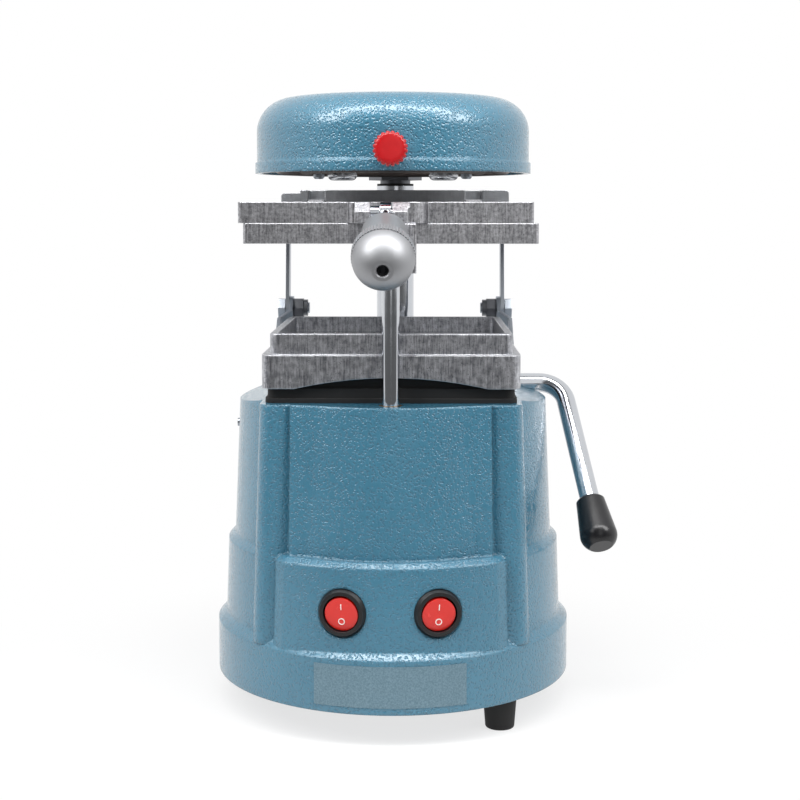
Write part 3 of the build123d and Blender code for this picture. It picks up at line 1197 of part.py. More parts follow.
LEVER_PLANE = Plane(
    origin=(LEVER_BEND_X, SHAFT_Y, SHAFT_Z),
    x_dir=(1, 0, 0),
    z_dir=(0, LEVER_DOWN, -LEVER_FORWARD),
)
GRIP_PLANE = Plane(
    origin=(
        LEVER_BEND_X + (LEVER_LENGTH - GRIP_LENGTH) * LEVER_OUT,
        SHAFT_Y - (LEVER_LENGTH - GRIP_LENGTH) * LEVER_FORWARD,
        SHAFT_Z - (LEVER_LENGTH - GRIP_LENGTH) * LEVER_DOWN,
    ),
    x_dir=(1, 0, 0),
    z_dir=LEVER_PLANE.z_dir,
)
GRIP_AXIS = Axis(GRIP_PLANE.origin, (LEVER_OUT, -LEVER_FORWARD, -LEVER_DOWN))
GRIP_FLOOR = 3.0

with BuildPart() as lever_shaft:
    with BuildLine(LEVER_PLANE) as lever_line:
        lever_end = (LEVER_LENGTH - GRIP_FLOOR) * (1 - LEVER_OUT**2) ** 0.5
        FilletPolyline(
            (-SHAFT_END_X - LEVER_BEND_X, 0),
            (0, 0),
            ((LEVER_LENGTH - GRIP_FLOOR) * LEVER_OUT, lever_end),
            radius=LEVER_BEND_R,
        )
    with BuildSketch(Plane.YZ.offset(-SHAFT_END_X)) as lever_section:
        with Locations((SHAFT_Y, SHAFT_Z)):
            Circle(SHAFT_D / 2)
    sweep(path=lever_line.line)
lever_shaft.part.label = "lever_shaft"
export_step(lever_shaft.part, "parts/lever_shaft.step")

with BuildPart() as lever_grip:
    grip_sketch_plane = Plane(
        origin=GRIP_PLANE.origin,
        x_dir=LEVER_PLANE.z_dir.cross(GRIP_AXIS.direction),
        z_dir=LEVER_PLANE.z_dir,
    )
    with BuildSketch(grip_sketch_plane) as grip_profile:
        with BuildLine() as grip_outline:
            Polyline(
                (SHAFT_D / 2, 0),
                (GRIP_TOP_D / 2 - 1, 0),
                (GRIP_TOP_D / 2, -1),
                (GRIP_MAX_D / 2, -GRIP_LENGTH * 0.72),
            )
            ThreePointArc(
                (GRIP_MAX_D / 2, -GRIP_LENGTH * 0.72),
                (GRIP_MAX_D / 2 - 0.9, -GRIP_LENGTH * 0.9),
                (GRIP_MAX_D / 2 - 3.4, -GRIP_LENGTH),
            )
            Polyline(
                (GRIP_MAX_D / 2 - 3.4, -GRIP_LENGTH),
                (0, -GRIP_LENGTH),
                (0, -GRIP_LENGTH + GRIP_FLOOR),
                (SHAFT_D / 2, -GRIP_LENGTH + GRIP_FLOOR),
                (SHAFT_D / 2, 0),
            )
        make_face()
    revolve(axis=GRIP_AXIS)
lever_grip.part.label = "lever_grip"
export_step(lever_grip.part, "parts/lever_grip.step")

for side, name in ((-1, "left"), (1, "right")):
    with BuildPart() as crank_arm:
        with BuildSketch(ARM_STRIP_PLANE) as arm_strip_section:
            with BuildLine() as arm_strip_line:
                Polyline(
                    (side * ARM_X, -ARM_WIDTH / 2),
                    (side * (ARM_X + ARM_THICK), -ARM_WIDTH / 2),
                    (side * (ARM_X + ARM_THICK), JOGGLE_START),
                    (side * (ARM_EYE_X + ARM_THICK), JOGGLE_END),
                    (side * (ARM_EYE_X + ARM_THICK), CRANK_R + ARM_WIDTH / 2),
                    (side * ARM_EYE_X, CRANK_R + ARM_WIDTH / 2),
                    (side * ARM_EYE_X, JOGGLE_END),
                    (side * ARM_X, JOGGLE_START),
                    close=True,
                )
            make_face()
        extrude(amount=ARM_WIDTH / 2, both=True)
        with BuildSketch(ARM_FACE_PLANE) as arm_face_section:
            with Locations((CRANK_R / 2, 0)):
                SlotCenterToCenter(CRANK_R, ARM_WIDTH)
        extrude(amount=side * (ARM_X + 2 * ARM_THICK), mode=Mode.INTERSECT)
        with BuildSketch(ARM_FACE_PLANE) as arm_hole_section:
            Circle(SHAFT_D / 2)
            with Locations((CRANK_R, 0)):
                Circle(CRANK_BOLT_D / 2)
        extrude(amount=side * (ARM_X + 2 * ARM_THICK), mode=Mode.SUBTRACT)
    crank_arm.part.label = "crank_arm_" + name
    export_step(crank_arm.part, "parts/crank_arm_" + name + ".step")

    link_x = ARM_EYE_X + ARM_THICK + LINK_GAP
    with BuildPart() as link:
        with BuildSketch(Plane.YZ.offset(side * link_x)) as link_section:
            with Locations((CRANK_PIN_Y, CRANK_PIN_Z)):
                Circle(LINK_WIDTH / 2 + 1)
            with Locations((LINK_TOP_Y, LINK_TOP_Z)):
                Circle(LINK_EYE_R)
            make_hull()
            with Locations((CRANK_PIN_Y, CRANK_PIN_Z)):
                Circle(CRANK_BOLT_D / 2 + RUNNING, mode=Mode.SUBTRACT)
            with Locations((LINK_TOP_Y, LINK_TOP_Z)):
                Circle(LINK_PIN_D / 2, mode=Mode.SUBTRACT)
        extrude(amount=side * LINK_THICK)
    link.part.label = "link_" + name
    export_step(link.part, "parts/link_" + name + ".step")

    with BuildPart() as link_pin:
        with BuildSketch(Plane.YZ.offset(side * LINK_PIN_START)) as link_pin_section:
            with Locations((LINK_TOP_Y, LINK_TOP_Z)):
                Circle(LINK_PIN_D / 2)
        extrude(amount=side * (LINK_PIN_END - LINK_PIN_START))
    link_pin.part.label = "link_pin_" + name
    export_step(link_pin.part, "parts/link_pin_" + name + ".step")

HEX_START = ARM_EYE_X + ARM_THICK + LINK_THICK + 2 * LINK_GAP

with BuildPart() as crank_bolts:
    for side in (-1, 1):
        with BuildSketch(Plane.YZ.offset(side * HEX_START)) as hex_section:
            with Locations((CRANK_PIN_Y, CRANK_PIN_Z)):
                RegularPolygon(radius=HEX_FLATS / 2, side_count=6, major_radius=False)
        extrude(amount=side * HEX_HEIGHT)
        with BuildSketch(Plane.YZ.offset(side * (ARM_EYE_X - NUT_HEIGHT - 1))) as crank_shank_section:
            with Locations((CRANK_PIN_Y, CRANK_PIN_Z)):
                Circle(CRANK_BOLT_D / 2)
        extrude(amount=side * (HEX_START - ARM_EYE_X + NUT_HEIGHT + 1))
crank_bolts.part.label = "crank_bolts"
export_step(crank_bolts.part, "parts/crank_bolts.step")

with BuildPart() as crank_nuts:
    for side in (-1, 1):
        with BuildSketch(Plane.YZ.offset(side * ARM_EYE_X)) as nut_section:
            with Locations((CRANK_PIN_Y, CRANK_PIN_Z)):
                RegularPolygon(radius=HEX_FLATS / 2, side_count=6, major_radius=False)
        extrude(amount=-side * NUT_HEIGHT * 0.7)
        with BuildSketch(Plane.YZ.offset(side * ARM_EYE_X)) as nut_collar_section:
            with Locations((CRANK_PIN_Y, CRANK_PIN_Z)):
                Circle(HEX_FLATS / 2 - 0.4)
        extrude(amount=-side * NUT_HEIGHT)
        with BuildSketch(Plane.YZ.offset(side * ARM_EYE_X)) as nut_hole_section:
            with Locations((CRANK_PIN_Y, CRANK_PIN_Z)):
                Circle(CRANK_BOLT_D / 2)
        extrude(amount=-side * (NUT_HEIGHT + 1), mode=Mode.SUBTRACT)
crank_nuts.part.label = "crank_nuts"
export_step(crank_nuts.part, "parts/crank_nuts.step")

# ---------------------------------------------------------------- heater hood
HOOD_TOP = HOOD_BOTTOM + HOOD_HEIGHT
HUB_Z = COLUMN_TOP + RING_HEIGHT + NECK_HEIGHT - 0.4 + COLLAR_HEIGHT
NECK_TOP = HUB_Z - COLLAR_HEIGHT
HUB_BORE_D = 12.0
SPINDLE_TOP = HUB_Z + HUB_HEIGHT + 5.0
INNER_R = HOOD_R - HOOD_WALL
ELEMENT_RINGS = (HOOD_R - 24.0, HOOD_R - 12.0)

with BuildPart() as hood_shell:
    with BuildSketch(Plane.XZ) as hood_profile:
        with BuildLine() as hood_outline:
            crown_z = HOOD_TOP - HOOD_CROWN
            crown_mid = (HOOD_R - HOOD_ROUND) / 2
            crown_r = arc_radius(HOOD_R - HOOD_ROUND, HOOD_CROWN)
            crown_drop = crown_r - sqrt(crown_r**2 - crown_mid**2)
            Polyline(
                (HOOD_R - HOOD_WALL, HOOD_BOTTOM),
                (HOOD_R + HOOD_LIP, HOOD_BOTTOM),
                (HOOD_R + HOOD_LIP, HOOD_BOTTOM + HOOD_LIP_HEIGHT),
                (HOOD_R, HOOD_BOTTOM + HOOD_LIP_HEIGHT + 0.6),
                (HOOD_R, crown_z - HOOD_ROUND),
            )
            ThreePointArc(
                (HOOD_R, crown_z - HOOD_ROUND),
                (HOOD_R - HOOD_ROUND * (1 - sqrt(0.5)), crown_z - HOOD_ROUND * (1 - sqrt(0.5))),
                (HOOD_R - HOOD_ROUND, crown_z),
            )
            ThreePointArc(
                (HOOD_R - HOOD_ROUND, crown_z),
                (crown_mid, HOOD_TOP - crown_drop),
                (0, HOOD_TOP),
            )
            Line((0, HOOD_TOP), (0, HOOD_TOP - HOOD_WALL))
            ThreePointArc(
                (0, HOOD_TOP - HOOD_WALL),
                (crown_mid, HOOD_TOP - crown_drop - HOOD_WALL),
                (HOOD_R - HOOD_ROUND, crown_z - HOOD_WALL),
            )
            inner_round = HOOD_ROUND - HOOD_WALL
            ThreePointArc(
                (HOOD_R - HOOD_ROUND, crown_z - HOOD_WALL),
                (
                    HOOD_R - HOOD_ROUND + inner_round * sqrt(0.5),
                    crown_z - HOOD_ROUND + inner_round * sqrt(0.5),
                ),
                (INNER_R, crown_z - HOOD_ROUND),
            )
            Line((INNER_R, crown_z - HOOD_ROUND), (INNER_R, HOOD_BOTTOM))
        make_face()
    revolve(axis=Axis.Z)
    with BuildSketch(Plane.XY.offset(HOOD_BOTTOM)) as hood_notch_section:
        with Locations((0, HOOD_R)):
            Rectangle(2 * ARM_PLATE_HALF + 2 * RUNNING, 20)
        with Locations((0, COLUMN_Y)):
            Circle(HUB_R + CLEAR)
    extrude(amount=HUB_Z + HUB_HEIGHT + CLEAR - HOOD_BOTTOM, mode=Mode.SUBTRACT)
    with BuildSketch(Plane.XZ.offset(HOOD_R - 10)) as stud_hole_section:
        with Locations((0, HOOD_KNOB_Z)):
            Circle(KNOB_STUD_D / 2)
    extrude(amount=20, mode=Mode.SUBTRACT)
hood_shell.part.label = "hood_shell"
export_step(hood_shell.part, "parts/hood_shell.step")

KNOB_BACK_Y = HOOD_R + HOOD_KNOB_GAP
with BuildPart() as knob_stud:
    with BuildSketch(Plane.XZ.offset(HOOD_R - 4)) as stud_section:
        with Locations((0, HOOD_KNOB_Z)):
            Circle(KNOB_STUD_D / 2)
    extrude(amount=HOOD_KNOB_GAP + 4 + HOOD_KNOB_LENGTH * 0.6)
    with BuildSketch(Plane.XZ.offset(HOOD_R)) as stud_collar_section:
        with Locations((0, HOOD_KNOB_Z)):
            Circle(KNOB_STUD_D / 2 + 1.5)
    extrude(amount=HOOD_KNOB_GAP)
knob_stud.part.label = "knob_stud"
export_step(knob_stud.part, "parts/knob_stud.step")

with BuildPart() as hood_knob:
    with BuildSketch(Plane.XZ.offset(KNOB_BACK_Y)) as hood_knob_section:
        with Locations((0, HOOD_KNOB_Z)):
            Circle(HOOD_KNOB_D / 2)
            with PolarLocations(HOOD_KNOB_D / 2 + 0.35, HOOD_KNOB_TEETH):
                Circle(0.8, mode=Mode.SUBTRACT)
    extrude(amount=HOOD_KNOB_LENGTH)
    chamfer(hood_knob.faces().sort_by(Axis.Y)[0].edges(), 0.35)
    with BuildSketch(Plane.XZ.offset(KNOB_BACK_Y)) as hood_knob_hole_section:
        with Locations((0, HOOD_KNOB_Z)):
            Circle(KNOB_STUD_D / 2)
    extrude(amount=HOOD_KNOB_LENGTH * 0.6, mode=Mode.SUBTRACT)
    with BuildSketch(Plane.XZ.offset(KNOB_BACK_Y + HOOD_KNOB_LENGTH)) as hood_knob_dish_section:
        with Locations((0, HOOD_KNOB_Z)):
            Circle(HOOD_KNOB_D / 2 - 2.2)
    extrude(amount=-0.6, mode=Mode.SUBTRACT)
hood_knob.part.label = "hood_knob"
export_step(hood_knob.part, "parts/hood_knob.step")

with BuildPart() as hood_arm:
    with BuildSketch(Plane.XY.offset(HUB_Z)) as hub_section:
        with Locations((0, COLUMN_Y)):
            Circle(HUB_R)
    extrude(amount=HUB_HEIGHT)
    with BuildSketch(Plane.XY.offset(REFLECTOR_Z + REFLECTOR_THICK)) as arm_plate_section:
        with Locations((0, (COLUMN_Y - 30) / 2)):
            Rectangle(2 * ARM_PLATE_HALF, COLUMN_Y + 30)
        with Locations((0, COLUMN_Y + 10)):
            Rectangle(2 * ARM_PLATE_HALF, 20, mode=Mode.SUBTRACT)
    extrude(amount=ARM_PLATE_THICK)
    with BuildSketch(Plane.XY.offset(HUB_Z)) as hub_bore_section:
        with Locations((0, COLUMN_Y)):
            Circle(HUB_BORE_D / 2 + RUNNING)
    extrude(amount=HUB_HEIGHT, mode=Mode.SUBTRACT)
hood_arm.part.label = "hood_arm"
export_step(hood_arm.part, "parts/hood_arm.step")

with BuildPart() as spindle_nut:
    with BuildSketch(Plane.XY.offset(HUB_Z + HUB_HEIGHT + RUNNING)) as spindle_nut_section:
        with Locations((0, COLUMN_Y)):
            RegularPolygon(radius=9.5, side_count=6, major_radius=False)
            Circle(HUB_BORE_D / 2, mode=Mode.SUBTRACT)
    extrude(amount=5)
spindle_nut.part.label = "spindle_nut"
export_step(spindle_nut.part, "parts/spindle_nut.step")

with BuildPart() as hood_collar:
    with BuildSketch(Plane.XY.offset(NECK_TOP)) as collar_section:
        with Locations((0, COLUMN_Y)):
            RegularPolygon(radius=COLLAR_FLATS / 2, side_count=6, major_radius=False)
    extrude(amount=COLLAR_HEIGHT)
    with BuildSketch(Plane.XY.offset(COLUMN_TOP)) as neck_section:
        with Locations((0, COLUMN_Y)):
            Circle(NECK_D / 2)
    extrude(amount=NECK_TOP - COLUMN_TOP)
    with BuildSketch(Plane.XY.offset(COLUMN_TOP - 16)) as plug_section:
        with Locations((0, COLUMN_Y)):
            Circle(COLUMN_BORE / 2)
    extrude(amount=16)
    with BuildSketch(Plane.XY.offset(HUB_Z)) as spindle_section:
        with Locations((0, COLUMN_Y)):
            Circle(HUB_BORE_D / 2)
    extrude(amount=SPINDLE_TOP + 2 - HUB_Z)
hood_collar.part.label = "hood_collar"
export_step(hood_collar.part, "parts/hood_collar.step")

with BuildPart() as collar_ring:
    with BuildSketch(Plane.XY.offset(COLUMN_TOP)) as ring_section:
        with Locations((0, COLUMN_Y)):
            Circle(RING_D / 2)
            Circle(NECK_D / 2, mode=Mode.SUBTRACT)
    extrude(amount=RING_HEIGHT)
collar_ring.part.label = "collar_ring"
export_step(collar_ring.part, "parts/collar_ring.step")

with BuildPart() as reflector:
    with BuildSketch(Plane.XY.offset(REFLECTOR_Z)) as reflector_section:
        Circle(INNER_R)
        with Locations((0, COLUMN_Y)):
            Circle(HUB_R + SIDE_CLEAR, mode=Mode.SUBTRACT)
    extrude(amount=REFLECTOR_THICK)
reflector.part.label = "reflector"
export_step(reflector.part, "parts/reflector.step")

with BuildPart() as heater_bosses:
    for side in (-1, 1):
        with BuildSketch(Plane.XY.offset(BOSS_BOTTOM)) as heater_boss_section:
            with Locations((side * BOSS_X, 0)):
                Circle(HEATER_BOSS_D / 2)
        extrude(amount=REFLECTOR_Z - BOSS_BOTTOM)
    fillet(heater_bosses.edges().group_by(Axis.Z)[0], 2.6)
heater_bosses.part.label = "heater_bosses"
export_step(heater_bosses.part, "parts/heater_bosses.step")

with BuildPart() as heater_element:
    with BuildSketch(Plane.XY.offset(ELEMENT_Z - ELEMENT_R)) as element_section:
        for ring_r in reversed(ELEMENT_RINGS):
            Circle(ring_r + ELEMENT_R)
            Circle(ring_r - ELEMENT_R, mode=Mode.SUBTRACT)
        element_bar = ELEMENT_RINGS[1] - BOSS_X - HEATER_BOSS_D / 2
        for side in (-1, 1):
            with Locations((side * (ELEMENT_RINGS[1] - element_bar / 2), 0)):
                Rectangle(element_bar, 2 * ELEMENT_R - 0.8)
    extrude(amount=2 * ELEMENT_R)
heater_element.part.label = "heater_element"
export_step(heater_element.part, "parts/heater_element.step")

with BuildPart() as hood_screws:
    for side in (-1, 1):
        with BuildSketch(Plane.XY.offset(BOSS_BOTTOM + 0.5)) as hood_screw_head_section:
            with Locations((side * HOOD_SCREW_X, HOOD_SCREW_Y)):
                Circle(HOOD_SCREW_HEAD_D / 2)
        extrude(amount=HOOD_SCREW_HEAD)
        with BuildSketch(Plane.XY.offset(BOSS_BOTTOM + 0.5)) as hood_screw_section:
            with Locations((side * HOOD_SCREW_X, HOOD_SCREW_Y)):
                Circle(HOOD_SCREW_D / 2)
        extrude(amount=REFLECTOR_Z - BOSS_BOTTOM - 0.5)
hood_screws.part.label = "hood_screws"
export_step(hood_screws.part, "parts/hood_screws.step")
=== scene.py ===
"""Looks of the bench-top dental vacuum former: paint, metals, rubber and small detail over the CAD frame."""
import json
import math

import bmesh
import bpy
from mathutils import Matrix, Vector


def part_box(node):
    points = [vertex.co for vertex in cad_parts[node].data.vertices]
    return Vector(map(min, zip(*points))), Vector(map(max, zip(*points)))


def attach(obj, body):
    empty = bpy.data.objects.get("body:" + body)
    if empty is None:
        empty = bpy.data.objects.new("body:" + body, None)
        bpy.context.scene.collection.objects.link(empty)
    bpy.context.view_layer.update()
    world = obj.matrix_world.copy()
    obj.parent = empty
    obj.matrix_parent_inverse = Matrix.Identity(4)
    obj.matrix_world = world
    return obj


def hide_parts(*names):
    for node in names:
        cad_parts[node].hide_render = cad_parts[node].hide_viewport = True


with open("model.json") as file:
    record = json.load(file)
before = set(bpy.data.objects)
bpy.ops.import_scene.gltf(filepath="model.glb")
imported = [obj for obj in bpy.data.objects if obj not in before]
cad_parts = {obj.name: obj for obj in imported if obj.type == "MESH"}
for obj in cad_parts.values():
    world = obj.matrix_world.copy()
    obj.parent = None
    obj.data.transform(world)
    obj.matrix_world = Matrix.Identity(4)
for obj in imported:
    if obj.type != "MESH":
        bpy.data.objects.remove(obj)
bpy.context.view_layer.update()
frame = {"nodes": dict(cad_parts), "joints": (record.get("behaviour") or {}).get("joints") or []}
nodes = frame["nodes"]


# ---------------------------------------------------------------- node trees written as expressions
class Value:
    """An output socket of a tree. Arithmetic on it adds Math nodes."""

    def __init__(self, tree, socket):
        self.tree = tree
        self.socket = socket

    def math(self, operation, *terms, clamp=False):
        return self.tree.node("ShaderNodeMath", {"operation": operation, "use_clamp": clamp}, terms)

    def __add__(self, other):
        return self.math("ADD", self, other)

    __radd__ = __add__

    def __mul__(self, other):
        return self.math("MULTIPLY", self, other)

    __rmul__ = __mul__

    def __sub__(self, other):
        return self.math("SUBTRACT", self, other)

    def __rsub__(self, other):
        return self.math("SUBTRACT", other, self)

    def __pow__(self, other):
        return self.math("POWER", self, other)

    def of(self, operation):
        return self.math(operation, self)

    def at_least(self, lowest):
        return self.math("MAXIMUM", self, lowest)

    def clamped(self):
        return self.math("ADD", self, 0.0, clamp=True)

    def output(self, name):
        return Value(self.tree, self.socket.node.outputs[name])


class Tree:
    """A node tree and the one method that adds a node to it."""

    def __init__(self, owner):
        owner.use_nodes = True
        self.owner = owner
        self.nodes = owner.node_tree.nodes
        self.links = owner.node_tree.links

    def feed(self, socket, value):
        """Links a value, or a list of them to a socket that takes many, and sets a plain number or colour."""
        if isinstance(value, list):
            for single in value:
                self.feed(socket, single)
        elif isinstance(value, Value):
            self.links.new(value.socket, socket)
        else:
            socket.default_value = value

    def node(self, kind, settings=None, inputs=(), output=0):
        made = self.nodes.new(kind)
        for name, setting in (settings or {}).items():
            setattr(made, name, setting)
        pairs = inputs.items() if isinstance(inputs, dict) else enumerate(inputs)
        for key, value in pairs:
            self.feed(made.inputs[key], value)
        return Value(self, made.outputs[output]) if len(made.outputs) else None

    def place(self):
        return self.node("ShaderNodeTexCoord", output="Object")

    def along(self, scale):
        """The place in the material, stretched where a scale is small."""
        return self.node("ShaderNodeMapping", {}, {"Vector": self.place(), "Scale": scale})

    def noise(self, vector, scale, detail=2.0, rough=0.5, output="Fac"):
        inputs = {"Vector": vector, "Scale": scale, "Detail": detail, "Roughness": rough}
        return self.node("ShaderNodeTexNoise", {}, inputs, output)

    def between(self, value, low, high):
        """0 at low, 1 at high, smooth in between."""
        inputs = {"Value": value, "From Min": low, "From Max": high}
        return self.node("ShaderNodeMapRange", {"interpolation_type": "SMOOTHSTEP"}, inputs)

    def mix(self, share, first, second):
        factor, colour_a, colour_b, colour_out = 0, 6, 7, 2
        inputs = {factor: share, colour_a: first, colour_b: second}
        return self.node("ShaderNodeMix", {"data_type": "RGBA"}, inputs, colour_out)

    def bump(self, height, distance, strength=1.0, normal=None):
        inputs = {"Height": height, "Distance": distance, "Strength": strength}
        if normal:
            inputs["Normal"] = normal
        return self.node("ShaderNodeBump", {}, inputs)

    def soft_edge(self, radius):
        return self.node("ShaderNodeBevel", {"samples": 6}, {"Radius": radius})


class Grown(Tree):
    """A Geometry Nodes tree with named sizes, evaluated once into a plain mesh."""

    KINDS = {float: "NodeSocketFloat", int: "NodeSocketInt", tuple: "NodeSocketVector"}

    def __init__(self, name, **sizes):
        self.group = bpy.data.node_groups.new(name, "GeometryNodeTree")
        self.sizes = sizes
        for key, value in sizes.items():
            self.group.interface.new_socket(key, in_out="INPUT", socket_type=self.KINDS[type(value)])
        self.group.interface.new_socket("Geometry", in_out="OUTPUT", socket_type="NodeSocketGeometry")
        self.nodes = self.group.nodes
        self.links = self.group.links
        self.entry = self.node("NodeGroupInput")

    def size(self, key):
        return self.entry.output(key)

    def vector(self, x=0.0, y=0.0, z=0.0):
        return self.node("ShaderNodeCombineXYZ", {}, [x, y, z])

    def joined(self, *parts):
        return self.node("GeometryNodeJoinGeometry", {}, {"Geometry": list(parts)})

    def moved(self, geometry, place=(0, 0, 0), turn=(0, 0, 0), scale=(1, 1, 1)):
        inputs = {"Geometry": geometry, "Translation": place, "Rotation": turn, "Scale": scale}
        return self.node("GeometryNodeTransform", {}, inputs)

    def smooth(self, geometry):
        return self.node("GeometryNodeSetShadeSmooth", {}, {"Geometry": geometry})

    def solid(self, operation, **meshes):
        """A Mesh Boolean of closed meshes: Mesh_2 is united, or cut away from Mesh_1."""
        inputs = {key.replace("_", " "): value for key, value in meshes.items()}
        settings = {"operation": operation, "solver": "MANIFOLD"}
        return self.node("GeometryNodeMeshBoolean", settings, inputs, "Mesh")

    def mesh(self, geometry, material):
        """Ends the tree and gives its result as a closed mesh whose faces look outward."""
        real = self.node("GeometryNodeRealizeInstances", {}, [geometry])
        dressed = self.node("GeometryNodeSetMaterial", {}, {"Geometry": real, "Material": material})
        self.node("NodeGroupOutput", {}, [dressed])
        name = self.group.name
        holder = bpy.data.objects.new(name, bpy.data.meshes.new(name + "_seed"))
        bpy.context.scene.collection.objects.link(holder)
        modifier = holder.modifiers.new(name, "NODES")
        modifier.node_group = self.group
        for item in self.group.interface.items_tree:
            if item.in_out == "INPUT":
                modifier[item.identifier] = self.sizes[item.name]
        ready = holder.evaluated_get(bpy.context.evaluated_depsgraph_get())
        made = bpy.data.meshes.new_from_object(ready)
        made.name = name
        holder.modifiers.remove(modifier)
        bpy.data.objects.remove(holder)
        built = bmesh.new()
        built.from_mesh(made)
        bmesh.ops.recalc_face_normals(built, faces=built.faces)
        built.to_mesh(made)
        built.free()
        return made


def rgb(red, green, blue):
    """A colour given as 0 to 255 screen values."""
    screen = (red / 255, green / 255, blue / 255)
    return tuple(c / 12.92 if c <= 0.04045 else ((c + 0.055) / 1.055) ** 2.4 for c in screen) + (1.0,)


def finish(name, **principled):
    """A new material as a tree, with plain values set on its Principled shader."""
    tree = Tree(bpy.data.materials.new(name))
    tree.shader = tree.nodes["Principled BSDF"]
    wear(tree, **principled)
    return tree


def wear(tree, **inputs):
    """Feeds values into the Principled shader of a material."""
    for key, value in inputs.items():
        tree.feed(tree.shader.inputs[key.replace("_", " ")], value)
    return tree.owner


# ---------------------------------------------------------------- finishes (scales per metre, depths in metres)
def hammered_enamel():
    """Hammer-tone paint: shallow wrinkled cells, almost one colour, under a glossy skin; painted shade makes
    the cell and wrinkle hollows darker, over a random patchy tone.
    """
    bend_scale, bend_reach = 380.0, 0.0016
    cell_scale, wrinkle_scale, patch_scale = 820.0, 1100.0, 24.0
    cell_blend, crater_floor, crater_rim = 0.6, 0.10, 0.55
    paint_depth, skin_depth, edge_radius = 0.00038, 0.00026, 0.0018
    deep, bright = rgb(29, 86, 110), rgb(53, 117, 142)
    least_rough, rough_span = 0.36, 0.15
    tree = finish("hammered_enamel", Coat_Weight=1.0, Coat_Roughness=0.11, Coat_IOR=1.6, Metallic=0.15)
    warp = tree.noise(tree.place(), bend_scale, 2.0, 0.5, output="Color")
    bent = tree.node(
        "ShaderNodeVectorMath", {"operation": "MULTIPLY_ADD"}, [warp, (bend_reach,) * 3, tree.place()]
    )
    cell_inputs = {"Vector": bent, "Scale": cell_scale, "Smoothness": cell_blend}
    cell = tree.node("ShaderNodeTexVoronoi", {"feature": "SMOOTH_F1"}, cell_inputs)
    wrinkle = tree.noise(bent, wrinkle_scale)
    patch = tree.noise(tree.place(), patch_scale, 3.0)
    crater = tree.between(cell, crater_floor, crater_rim)
    # Painted shade: the crater and wrinkle terms darken the colour in the hollows, where the height is low; the
    # patch term is random tone.
    shade = (crater * 0.4 + wrinkle * 0.2 + patch * 0.4).clamped()
    colour = tree.mix(shade, deep, bright)
    height = crater * 0.7 + wrinkle * 0.3
    edge = tree.soft_edge(edge_radius)
    normal = tree.bump(height, paint_depth, 1.0, edge)
    skin = tree.bump(height, skin_depth, 1.0, edge)
    rough = shade * rough_span + least_rough
    return wear(tree, Base_Color=colour, Roughness=rough, Normal=normal, Coat_Normal=skin)


def cast_aluminium(name, dark, light, blotch_scale, grain, rough):
    """Ground casting: fine blotches and pits with an upright grain, its colour lighter on the edges."""
    upright_grain, streak_scale = (1.0, 1.0, 0.08), 1500.0
    pit_scale, pit_floor, pit_rim = 1900.0, 0.30, 0.40
    all_dark, all_light, rough_span = 0.28, 0.72, 0.2
    flat_lean, edge_lean, edge_lighter_share = 0.985, 0.86, 0.6
    depth, strength, edge_radius = 0.00007, 0.8, 0.0008
    edge_lighter_colour = rgb(224, 225, 228)
    tree = finish(name, Metallic=1.0)
    blotch = tree.noise(tree.place(), blotch_scale, 5.0, 0.65)
    streak = tree.noise(tree.along(upright_grain), streak_scale, 3.0, 0.6)
    pits = tree.between(tree.noise(tree.place(), pit_scale, 2.0), pit_floor, pit_rim)
    share = (blotch * (1.0 - grain) + streak * grain).clamped()
    edge_normal = tree.soft_edge(edge_radius)
    flat = tree.node("ShaderNodeNewGeometry", output="Normal")
    lean = tree.node("ShaderNodeVectorMath", {"operation": "DOT_PRODUCT"}, [edge_normal, flat], "Value")
    # Colour made lighter near the edges, where the soft edge normal leans away from the face's own normal.
    edge_lighter = tree.between(lean, flat_lean, edge_lean)
    colour = tree.mix(tree.between(share, all_dark, all_light), dark, light)
    colour = tree.mix(pits, dark, colour)
    colour = tree.mix(edge_lighter * edge_lighter_share, colour, edge_lighter_colour)
    normal = tree.bump(share * 0.6 + pits * 0.4, depth, strength, edge_normal)
    rough_share = share * rough_span + (rough - rough_span / 2)
    return wear(tree, Base_Color=colour, Roughness=rough_share, Normal=normal)


def turned_metal(name, colour, rough, mark_scale, depth=0.00002):
    """Turned, plated or rolled metal with very fine marks and faint smudges."""
    smudge_scale, smudge_dark = 60.0, 0.86
    rough_span, rough_drop = 0.14, 0.06
    strength, edge_radius = 0.6, 0.0003
    tree = finish(name, Metallic=1.0)
    mark = tree.noise(tree.place(), mark_scale, 3.0, 0.7)
    smudge = tree.noise(tree.place(), smudge_scale, 3.0)
    darker = tuple(c * smudge_dark for c in colour[:3]) + (1.0,)
    normal = tree.bump(mark, depth, strength, tree.soft_edge(edge_radius))
    shade = tree.mix(smudge, darker, colour)
    rough_share = smudge * rough_span + (rough - rough_drop)
    return wear(tree, Base_Color=shade, Roughness=rough_share, Normal=normal)


def moulded(name, colour, rough, grain=1800.0, depth=0.00004):
    """Moulded plastic or rubber with a fine skin and small scuffs."""
    scuff_scale, scuff_start, scuff_full, scuff_rough = 160.0, 0.56, 0.74, 0.15
    scuff_light, scuff_lift = 1.25, 0.008
    strength, edge_radius = 0.6, 0.0004
    tree = finish(name)
    skin = tree.noise(tree.place(), grain, 3.0)
    scuff = tree.between(tree.noise(tree.place(), scuff_scale, 5.0, 0.7), scuff_start, scuff_full)
    lighter = tuple(min(1.0, c * scuff_light + scuff_lift) for c in colour[:3]) + (1.0,)
    normal = tree.bump(skin, depth, strength, tree.soft_edge(edge_radius))
    shade = tree.mix(scuff, colour, lighter)
    return wear(tree, Base_Color=shade, Roughness=scuff * scuff_rough + rough, Normal=normal)


